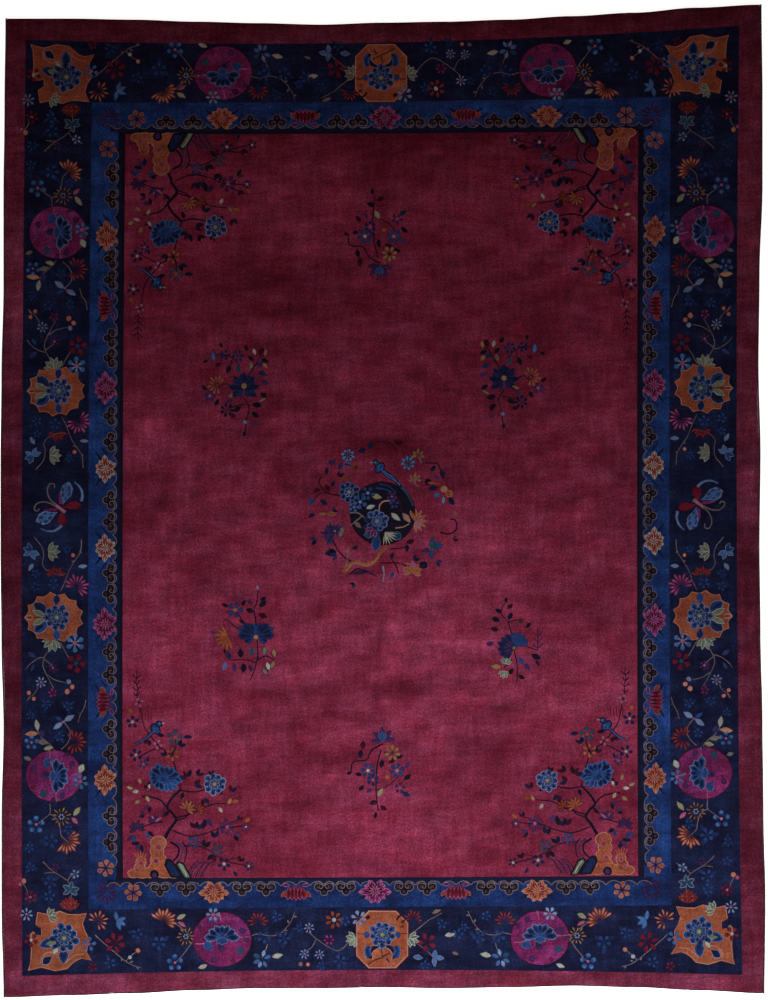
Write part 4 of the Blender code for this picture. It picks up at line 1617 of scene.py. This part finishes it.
def middle_disc():
    """Tie the disc with its peonies."""
    patch("wine", round_loop(382.6, 513.5, 33.2, 32.2, points=32), 1, 4)
    patch("ink", round_loop(382.6, 513.5, 32.2, 31.2, points=32), 2, 4)
    line("tan", [(350, 513), (358, 513), (366, 519), (373, 524)], 1.3, 3)
    line("tan", [(350, 526), (356, 521), (362, 516)], 1.2, 3)
    line("peach", [(379, 512), (380, 505), (384, 501), (390, 501)], 1.3, 3)
    line("peach", [(395, 528), (403, 527), (409, 524)], 1.2, 3)
    line("wine", [(388, 492), (397, 497), (401, 507), (399, 513)], 1.3, 3)
    fan(376, 525, 14, 150, "dusk", "blue", sweep=250, level=3)
    peony(377, 521, 11, 15, "pale", level=4)
    fan(374, 529, 9, 215, "violet", "rose", petals=5, sweep=130, level=6, slim=0.30)
    for u, heading, length, yarn in (
        (377, 200, 13, "teal"), (377, 266, 20, "blue"), (390, 325, 13, "teal"),
    ):
        petal(u, 531, heading, length, 8.6, yarn, "sky", 4, 1.5)
    for n in range(7):
        leaf(385, 532, 262 + 15 * n, 14 - n % 2, 1.7, "cream" if n % 3 else "straw", None, 5)
    leaf(366, 508.5, 20, 9.5, 4, "cream", "teal", 3)
    leaf(371, 495, 345, 11, 4.6, "straw", "green", 3)
    leaf(391, 513, 320, 12, 4.6, "cream", "green", 3)
    leaf(354, 521, 315, 10, 4, "tan", "brown", 3)
    leaf(402.5, 513, 310, 12, 5, "peach", "tan", 3)
    blossom(392, 496.5, 5, "violet", "rose", "blue", level=3)
    blossom(394, 504, 4.6, "blue", None, "violet", level=3)
    line("teal", [(402, 487), (408, 495), (413, 506)], 3, 3, 0.5)
    line("blue", [(376, 488), (384, 489), (392, 492)], 2, 3, 0.5)
    line("blue", [(379, 484), (388, 486), (396, 492)], 1.6, 3, 0.5)


def middle_ring():
    """Tie the loose ring round the disc."""
    line("wine", [(370, 449), (375, 443), (385, 441.5), (392, 445), (397, 452)], 1.5, 1)
    line("wine", [(422, 463), (431, 463), (438, 464), (441, 472), (443, 479)], 1.5, 1)
    line("wine", [(321, 477), (319, 482), (323, 489), (330, 494), (343, 496)], 1.5, 1)
    line("wine", [(311, 505), (319, 494), (330, 493)], 1.2, 1)
    line("wine", [(450, 519), (456, 521), (456, 530), (448, 534), (440, 532)], 1.5, 1)
    line("wine", [(329, 526), (335, 545), (343, 556), (352, 562)], 1.5, 1)
    line("wine", [(392, 560), (396, 566), (399, 574)], 1.2, 1)
    line("wine", [(380, 563), (392, 563), (402, 564), (410, 568)], 1.2, 1)
    line("wine", [(390, 549), (402, 548), (407, 545)], 1.2, 1)
    line("tan", [(349, 547), (347, 560), (344, 572)], 1.6, 1)
    for u, v, size in ((348, 455.5, 7), (408, 463, 7.4)):
        blossom(u, v, size, "sky", None, "navy", petals=8, slim=1.2)
        blossom(u, v, 0.62 * size, "navy", "violet", "pale", petals=7, level=3, slim=1.2)
    blossom(356, 467.5, 5.6, "madder", "wine", "orange", petals=6)
    fan(346, 480, 7, 80, "madder", None, petals=5, sweep=150, slim=0.30)
    for row in (
        (333, 466, 100, 7, ("violet", "dusk")), (338, 478, 60, 7, ("ink", "wine")),
        (424, 480, 330, 7, ("wine", "ink")), (396, 446, 60, 7, ("ink", "wine")),
        (337, 553, 200, 8, ("ink", "dusk", "violet")), (318, 540, 190, 8, ("dusk", "ink")),
        (413, 561, 40, 7, ("ink", "navy")), (436, 560, 320, 7, ("dusk", "violet")),
        (452, 540, 20, 6, ("wine", "violet")), (331, 511, 20, 6, ("ink", "violet")),
        (356, 584, 200, 6, ("ink", "dusk")),
    ):
        cluster(*row)
    leaf(338, 470, 60, 9, 4, "violet", "blue")
    leaf(343, 464, 350, 9, 3.4, "violet", "sky")
    peony(349, 492, 10, 20, "pale", "dusk", "sky", 2)
    blossom(368, 493, 7, "blue", "pale", "dusk", level=4)
    blossom(360, 502, 7, "blue", "pale", "sky", level=4)
    blossom(354, 507, 5.4, "sky", "pale", "blue", level=5)
    for u, v, heading, size, yarn in (
        (358, 452, 20, 9, "navy"), (368, 449, 60, 9, "navy"), (326, 475, 80, 8, "navy"),
        (325, 484, 300, 9, "wine"), (334, 481, 250, 7, "navy"), (313, 491, 10, 8, "wine"),
        (320, 500, 330, 9, "navy"), (311, 497, 270, 9, "blue"), (308, 517, 20, 8, "navy"),
        (325, 554, 10, 12, "navy"), (352, 549, 20, 7, "navy"), (391, 560, 75, 8, "navy"),
        (407, 552, 90, 8, "navy"), (406, 543, 20, 9, "wine"), (430, 471, 40, 8, "navy"),
        (441, 470, 290, 9, "navy"), (428, 489, 10, 10, "navy"), (449, 497, 300, 10, "navy"),
        (434, 475, 320, 6, "violet"), (419, 566, 10, 8, "navy"), (390, 578, 60, 7, "blue"),
    ):
        leaf(u, v, heading, size, 0.56 * size, yarn)
    for size, yarn in ((7.4, "gold"), (5.4, "orange")):
        fan(418, 456, size, 90, yarn, None, petals=5, sweep=190)
        fan(415, 480, size, 90, yarn, None, petals=5, sweep=190)
    line("tan", [(419, 456), (421, 462), (425, 463)], 1.4, 1)
    line("tan", [(415, 480), (415, 484), (419, 487)], 1.4, 1)
    line("orange", [(427, 483), (434, 483), (441, 485)], 2, 1, 0.5)
    bud(444, 489, 3.4, "peach", "orange")
    bud(449, 493.5, 3.2, "orange", "peach")
    leaf(440, 494, 200, 7, 4.4, "sky", "blue")
    leaf(444, 497, 260, 7, 3.6, "pale", "violet")
    fan(415, 521, 13, 15, "orange", "peach", petals=8, sweep=200, slim=0.16, fullness=1)
    fan(415, 521, 10, 320, "rose", "peach", petals=4, sweep=80, level=3, slim=0.18, fullness=1)
    bud(455, 514, 1.7, "orange", "tan")
    bud(431, 549, 2, "orange", "cream")
    for heading, yarn in ((80, "teal"), (35, "teal"), (18, "blue"), (195, "violet"), (275, "blue")):
        leaf(431, 549, heading, 13 if heading < 90 else 9, 4.4, yarn, "violet")
    fan(412, 572, 10.5, 85, "orange", "peach", sweep=210)
    oval("rose", 413, 565, 3.2, 2.6, 5)
    oval("ink", 423.5, 565, 4.2, 3.8, 1)
    oval("teal", 423.5, 565, 1.8, 1.6, 2)
    line("orange", [
        (344, 573), (349, 566), (357, 562), (366, 565), (375, 561), (380, 553), (387, 546),
    ], 5, 2, 0.7)
    line("peach", [(346, 571), (351, 565), (358, 563), (366, 566), (374, 562), (380, 554)], 1.5, 3, 0.7)
    for n in range(6):
        line("violet" if n % 2 else "ink", [
            (350 + 2 * n, 574), (358 + 2.5 * n, 568.5 + 0.8 * n), (368 + 2 * n, 573 + 0.8 * n),
        ], 1.4, 1, 0.4)
    line("pale", [(383, 566), (384, 574), (383, 582)], 2, 1, 0.5)
    for n in range(11):
        yarn = "violet" if n % 3 else "dusk"
        petal(333, 534, 40 + 22 * n, 13 - 1.2 * (n % 3), 2.6, yarn, "dusk", 1 + n % 2, 1, 0.5)
    blossom(335, 531, 5, "violet", "pale", "navy", petals=6, level=4)
    leaf(318, 514, 0, 9, 2.6, "gold")
    leaf(327, 514, 0, 9, 3, "orange", "gold")
    leaf(340, 537, 80, 11, 4, "tan", "green")


placing = straight
middle_disc()
middle_ring()
bird(379.5, 468, -1)
line("navy", [(382, 470), (392, 477), (401, 487), (404, 491)], 4.2, 2, 0.6)
line("sky", [(382, 470), (392, 477), (400, 486)], 1.8, 3, 0.5)

# Pattern yarns.
# Every colour of the drawing is one dyed wool, tied on the same warps as the ground. Here the
# patches of each yarn become one piece, which lies in the pile of the ground. Colours are linear.
YARNS = (
    # yarn, colour, record slot, unevenness
    ("orange", (0.174, 0.0460, 0.0228), "orange_wool", 0.7),
    ("peach", (0.250, 0.110, 0.075), "orange_wool", 0.5),
    ("madder", (0.120, 0.0230, 0.0130), "orange_wool", 0.6),
    ("gold", (0.160, 0.088, 0.046), "gold_wool", 0.5),
    ("tan", (0.100, 0.074, 0.076), "gold_wool", 0.5),
    ("straw", (0.180, 0.150, 0.090), "gold_wool", 0.5),
    ("cream", (0.220, 0.210, 0.190), "cream_wool", 0.5),
    ("pale", (0.105, 0.125, 0.200), "pale_blue_wool", 0.5),
    ("sky", (0.036, 0.078, 0.180), "pale_blue_wool", 0.6),
    ("teal", (0.012, 0.036, 0.062), "blue_pile", 0.6),
    ("blue", (0.0108, 0.0285, 0.096), "blue_pile", 0.6),
    ("dusk", (0.0078, 0.0135, 0.045), "navy_pile", 0.6),
    ("navy", (0.0060, 0.0078, 0.0240), "navy_pile", 0.5),
    ("ink", (0.0060, 0.0050, 0.0110), "navy_pile", 0.5),
    ("green", (0.075, 0.095, 0.062), "green_wool", 0.5),
    ("magenta", (0.098, 0.0115, 0.056), "magenta_wool", 1.0),
    ("violet", (0.034, 0.0130, 0.052), "magenta_wool", 0.6),
    ("rose", (0.190, 0.055, 0.110), "magenta_wool", 0.5),
    ("red", (0.080, 0.0065, 0.0140), "red_wool", 0.6),
    ("wine", (0.026, 0.0036, 0.0100), "plum_pile", 0.6),
    ("brown", (0.030, 0.0150, 0.0130), "gold_wool", 0.6),
)


def new_piece(name, vertices, faces, material):
    """Put a new mesh in the scene, with its material."""
    mesh = bpy.data.meshes.new(name)
    mesh.from_pydata(vertices, [], faces)
    mesh.update()
    mesh.materials.append(material)
    piece = bpy.data.objects.new(name, mesh)
    bpy.context.scene.collection.objects.link(piece)
    return piece


pattern_pieces = []
for yarn, color, slot_name, uneven in YARNS:
    yarn_wool = wool(f"{yarn}_wool", color, 2.0 + 0.9 * len(pattern_pieces), uneven)
    piece = new_piece(f"{yarn}_yarn", *tufts[yarn], yarn_wool)
    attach(piece, "root")
    pattern_pieces.append(piece)

# Bindings.
# The two long sides are wound round with olive wool over the outer warps, and the two ends are
# overcast with a thinner dark wool. The winding is worn, so its turns differ in size and tone.
# A few cotton warp ends show white at the far end.
TURN_PITCH = 0.0034
TURN_RELIEF = 0.00035
BINDING_SIDES = 8
SIDE_STATIONS = 220
END_STATIONS = 180
SWELL_CYCLES = 55.0


def edge_point(across, along):
    """Place a point of the ground's rim."""
    columns = edges_across(along)
    rows = edges_along(across)
    return (
        columns[0] + (columns[-1] - columns[0]) * across,
        rows[0] + (rows[-1] - rows[0]) * along,
    )


def side_route(across, outward):
    """Follow one long side at the binding's radius, out past both ends."""
    clear = GAP + SIDE_BINDING / 2
    past = GAP + END_BINDING
    edge = [edge_point(across, n / SIDE_STATIONS) for n in range(SIDE_STATIONS + 1)]
    points = [(x + outward * clear, y) for x, y in edge]
    return [(points[0][0], points[0][1] - past), *points, (points[-1][0], points[-1][1] + past)]


def end_route(along, outward):
    """Follow one end at the binding's radius, between the two side bindings."""
    clear = GAP + END_BINDING / 2
    edge = [edge_point(n / END_STATIONS, along) for n in range(END_STATIONS + 1)]
    return [(x, y + outward * clear) for x, y in edge]


def wound(name, route, diameter, node, material, seed):
    """Wind yarn along a route as a closed tube whose rings swell at every turn."""
    lengths = [0.0]
    for (x, y), (next_x, next_y) in zip(route, route[1:]):
        lengths.append(lengths[-1] + math.hypot(next_x - x, next_y - y))
    turns = round(lengths[-1] / TURN_PITCH)
    count = 2 * turns + 1
    vertices = []
    segment = 0
    for n in range(count):
        distance = lengths[-1] * n / (count - 1)
        while segment < len(route) - 2 and lengths[segment + 1] < distance:
            segment += 1
        blend = (distance - lengths[segment]) / (lengths[segment + 1] - lengths[segment])
        (x, y), (next_x, next_y) = route[segment], route[segment + 1]
        heading = math.atan2(next_y - y, next_x - x)
        x += (next_x - x) * blend
        y += (next_y - y) * blend
        swell = 0.5 + 0.5 * noise.noise(Vector((distance * SWELL_CYCLES, seed, 0.4)))
        radius = diameter / 2 - (TURN_RELIEF if n % 2 else 0.5 * TURN_RELIEF * swell)
        for side in range(BINDING_SIDES):
            angle = 2.0 * math.pi * side / BINDING_SIDES
            across = radius * math.cos(angle)
            vertices.append((
                x - across * math.sin(heading), y + across * math.cos(heading),
                diameter / 2 + radius * math.sin(angle),
            ))
    faces = [tuple(range(BINDING_SIDES))[::-1]]
    faces.append(tuple((count - 1) * BINDING_SIDES + side for side in range(BINDING_SIDES)))
    for n in range(count - 1):
        for side in range(BINDING_SIDES):
            following = (side + 1) % BINDING_SIDES
            low = n * BINDING_SIDES
            high = low + BINDING_SIDES
            faces.append((low + side, low + following, high + following, high + side))
    piece = new_piece(name, vertices, faces, material)
    for polygon in piece.data.polygons:
        polygon.use_smooth = True
    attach(piece, "root")
    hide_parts(node)
    return piece


olive_wool = wool("olive_binding_wool", (0.060, 0.034, 0.026), 5.5, 1.1)
brown_wool = wool("brown_binding_wool", (0.038, 0.022, 0.018), 8.5)
bindings = [
    wound("side_winding_left", side_route(0.0, -1.0), SIDE_BINDING, "side_binding_left",
          olive_wool, 1.0),
    wound("side_winding_right", side_route(1.0, 1.0), SIDE_BINDING, "side_binding_right",
          olive_wool, 2.0),
    wound("end_overcast_near", end_route(0.0, -1.0), END_BINDING, "end_binding_near",
          brown_wool, 3.0),
    wound("end_overcast_far", end_route(1.0, 1.0), END_BINDING, "end_binding_far",
          brown_wool, 4.0),
]

# Stray places where the white cotton warps show: share along the far or the near end.
WARP_ENDS_FAR = (0.393, 0.561, 0.588, 0.21, 0.82)
WARP_ENDS_NEAR = (0.14, 0.47, 0.90)
WARP_LENGTH = 0.0042
WARP_ROOT = -0.0010
WARP_RADIUS = 0.0007
WARP_PITCH = 0.0011
WARP_HEIGHT = END_BINDING + 0.0005
WARP_SIDES = 6
cotton_vertices = []
cotton_faces = []
for shares, along, outward in ((WARP_ENDS_FAR, 1.0, 1.0), (WARP_ENDS_NEAR, 0.0, -1.0)):
    for share in shares:
        for n in range(5):
            x, y = edge_point(share + WARP_PITCH * (n - 2), along)
            first = len(cotton_vertices)
            last = first + WARP_SIDES
            reach = WARP_LENGTH * (0.7 + 0.3 * math.sin(7.0 * n + 40.0 * share))
            for distance in (WARP_ROOT, reach):
                for side in range(WARP_SIDES):
                    angle = 2.0 * math.pi * side / WARP_SIDES
                    cotton_vertices.append((
                        x + WARP_RADIUS * math.cos(angle), y + outward * distance,
                        WARP_HEIGHT + WARP_RADIUS * math.sin(angle),
                    ))
            ring = [tuple(range(first, last)), tuple(range(last, last + WARP_SIDES))[::-1]]
            for side in range(WARP_SIDES):
                following = (side + 1) % WARP_SIDES
                ring.append((first + side, last + side, last + following, first + following))
            cotton_faces.extend(ring if outward > 0 else [face[::-1] for face in ring])
cotton_warp = wool("cotton_warp", (0.62, 0.58, 0.50), 6.0, 0.3)
cotton = new_piece("cotton_warp_ends", cotton_vertices, cotton_faces, cotton_warp)
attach(cotton, "root")

# Floor, light and camera.
# The rug lies on a plain pale floor. A broad soft window at the near end lights it, so the near
# border is much brighter than the far one, where a weak warm lamp helps. The camera looks
# straight down.
FLOOR_SIZE = 400.0
FLOOR_HEIGHT = -0.0006
FLOOR_WHITE = 0.86
FLOOR_ROUGHNESS = 0.9
FLOOR_GLOW = 0.9
bpy.ops.mesh.primitive_plane_add(size=FLOOR_SIZE, location=(0.0, 0.0, FLOOR_HEIGHT))
floor = bpy.context.object
floor.name = "floor"
floor_material = bpy.data.materials.new("pale_floor")
floor_material.use_nodes = True
floor_shader = floor_material.node_tree.nodes["Principled BSDF"]
floor_shader.inputs["Base Color"].default_value = (FLOOR_WHITE, FLOOR_WHITE, FLOOR_WHITE, 1.0)
floor_shader.inputs["Roughness"].default_value = FLOOR_ROUGHNESS
floor_shader.inputs["Emission Color"].default_value = (1.0, 1.0, 1.0, 1.0)
floor_shader.inputs["Emission Strength"].default_value = FLOOR_GLOW
floor.data.materials.append(floor_material)


def soft_light(name, location, target, size, power, color, spread=180.0):
    """Hang a soft rectangular light that faces a point, unseen by the camera."""
    data = bpy.data.lights.new(name, "AREA")
    data.shape = "RECTANGLE"
    data.size, data.size_y = size
    data.energy = power
    data.color = color
    data.spread = math.radians(spread)
    light = bpy.data.objects.new(name, data)
    light.visible_camera = False
    light.location = location
    aim = Vector(target) - Vector(location)
    light.rotation_euler = aim.to_track_quat("-Z", "Y").to_euler()
    bpy.context.scene.collection.objects.link(light)


soft_light(
    "window", location=(0.1, -3.0, 2.5), target=(0.1, -1.2, 0.0), size=(4.0, 1.2), power=67.0,
    color=(0.95, 0.96, 1.0), spread=90.0,
)
soft_light(
    "warm_lamp", location=(0.0, 2.6, 3.0), target=(0.0, 1.3, 0.0), size=(3.6, 1.6), power=19.0,
    color=(1.0, 0.42, 0.32),
)

WORLD_COLOR = (0.95, 0.97, 1.0, 1.0)
WORLD_STRENGTH = 0.01
world = bpy.data.worlds.new("studio")
world.use_nodes = True
background = world.node_tree.nodes["Background"]
background.inputs["Color"].default_value = WORLD_COLOR
background.inputs["Strength"].default_value = WORLD_STRENGTH
bpy.context.scene.world = world
bpy.context.scene.view_settings.view_transform = "Standard"
bpy.context.scene.view_settings.look = "None"

FRAME_COLUMNS = 768.0
FRAME_ROWS = 1000.0
CAMERA_HEIGHT = 8.0
SENSOR = 36.0
camera_data = bpy.data.cameras.new("camera")
camera_data.sensor_fit = "AUTO"
camera_data.sensor_width = SENSOR
camera_data.lens = SENSOR * CAMERA_HEIGHT / (FRAME_ROWS * KNOT)
camera = bpy.data.objects.new("camera", camera_data)
camera.location = (
    KNOT * (FRAME_COLUMNS / 2 - MIDDLE_COLUMN),
    KNOT * (MIDDLE_ROW - FRAME_ROWS / 2),
    CAMERA_HEIGHT + PILE,
)
bpy.context.scene.collection.objects.link(camera)
bpy.context.scene.camera = camera
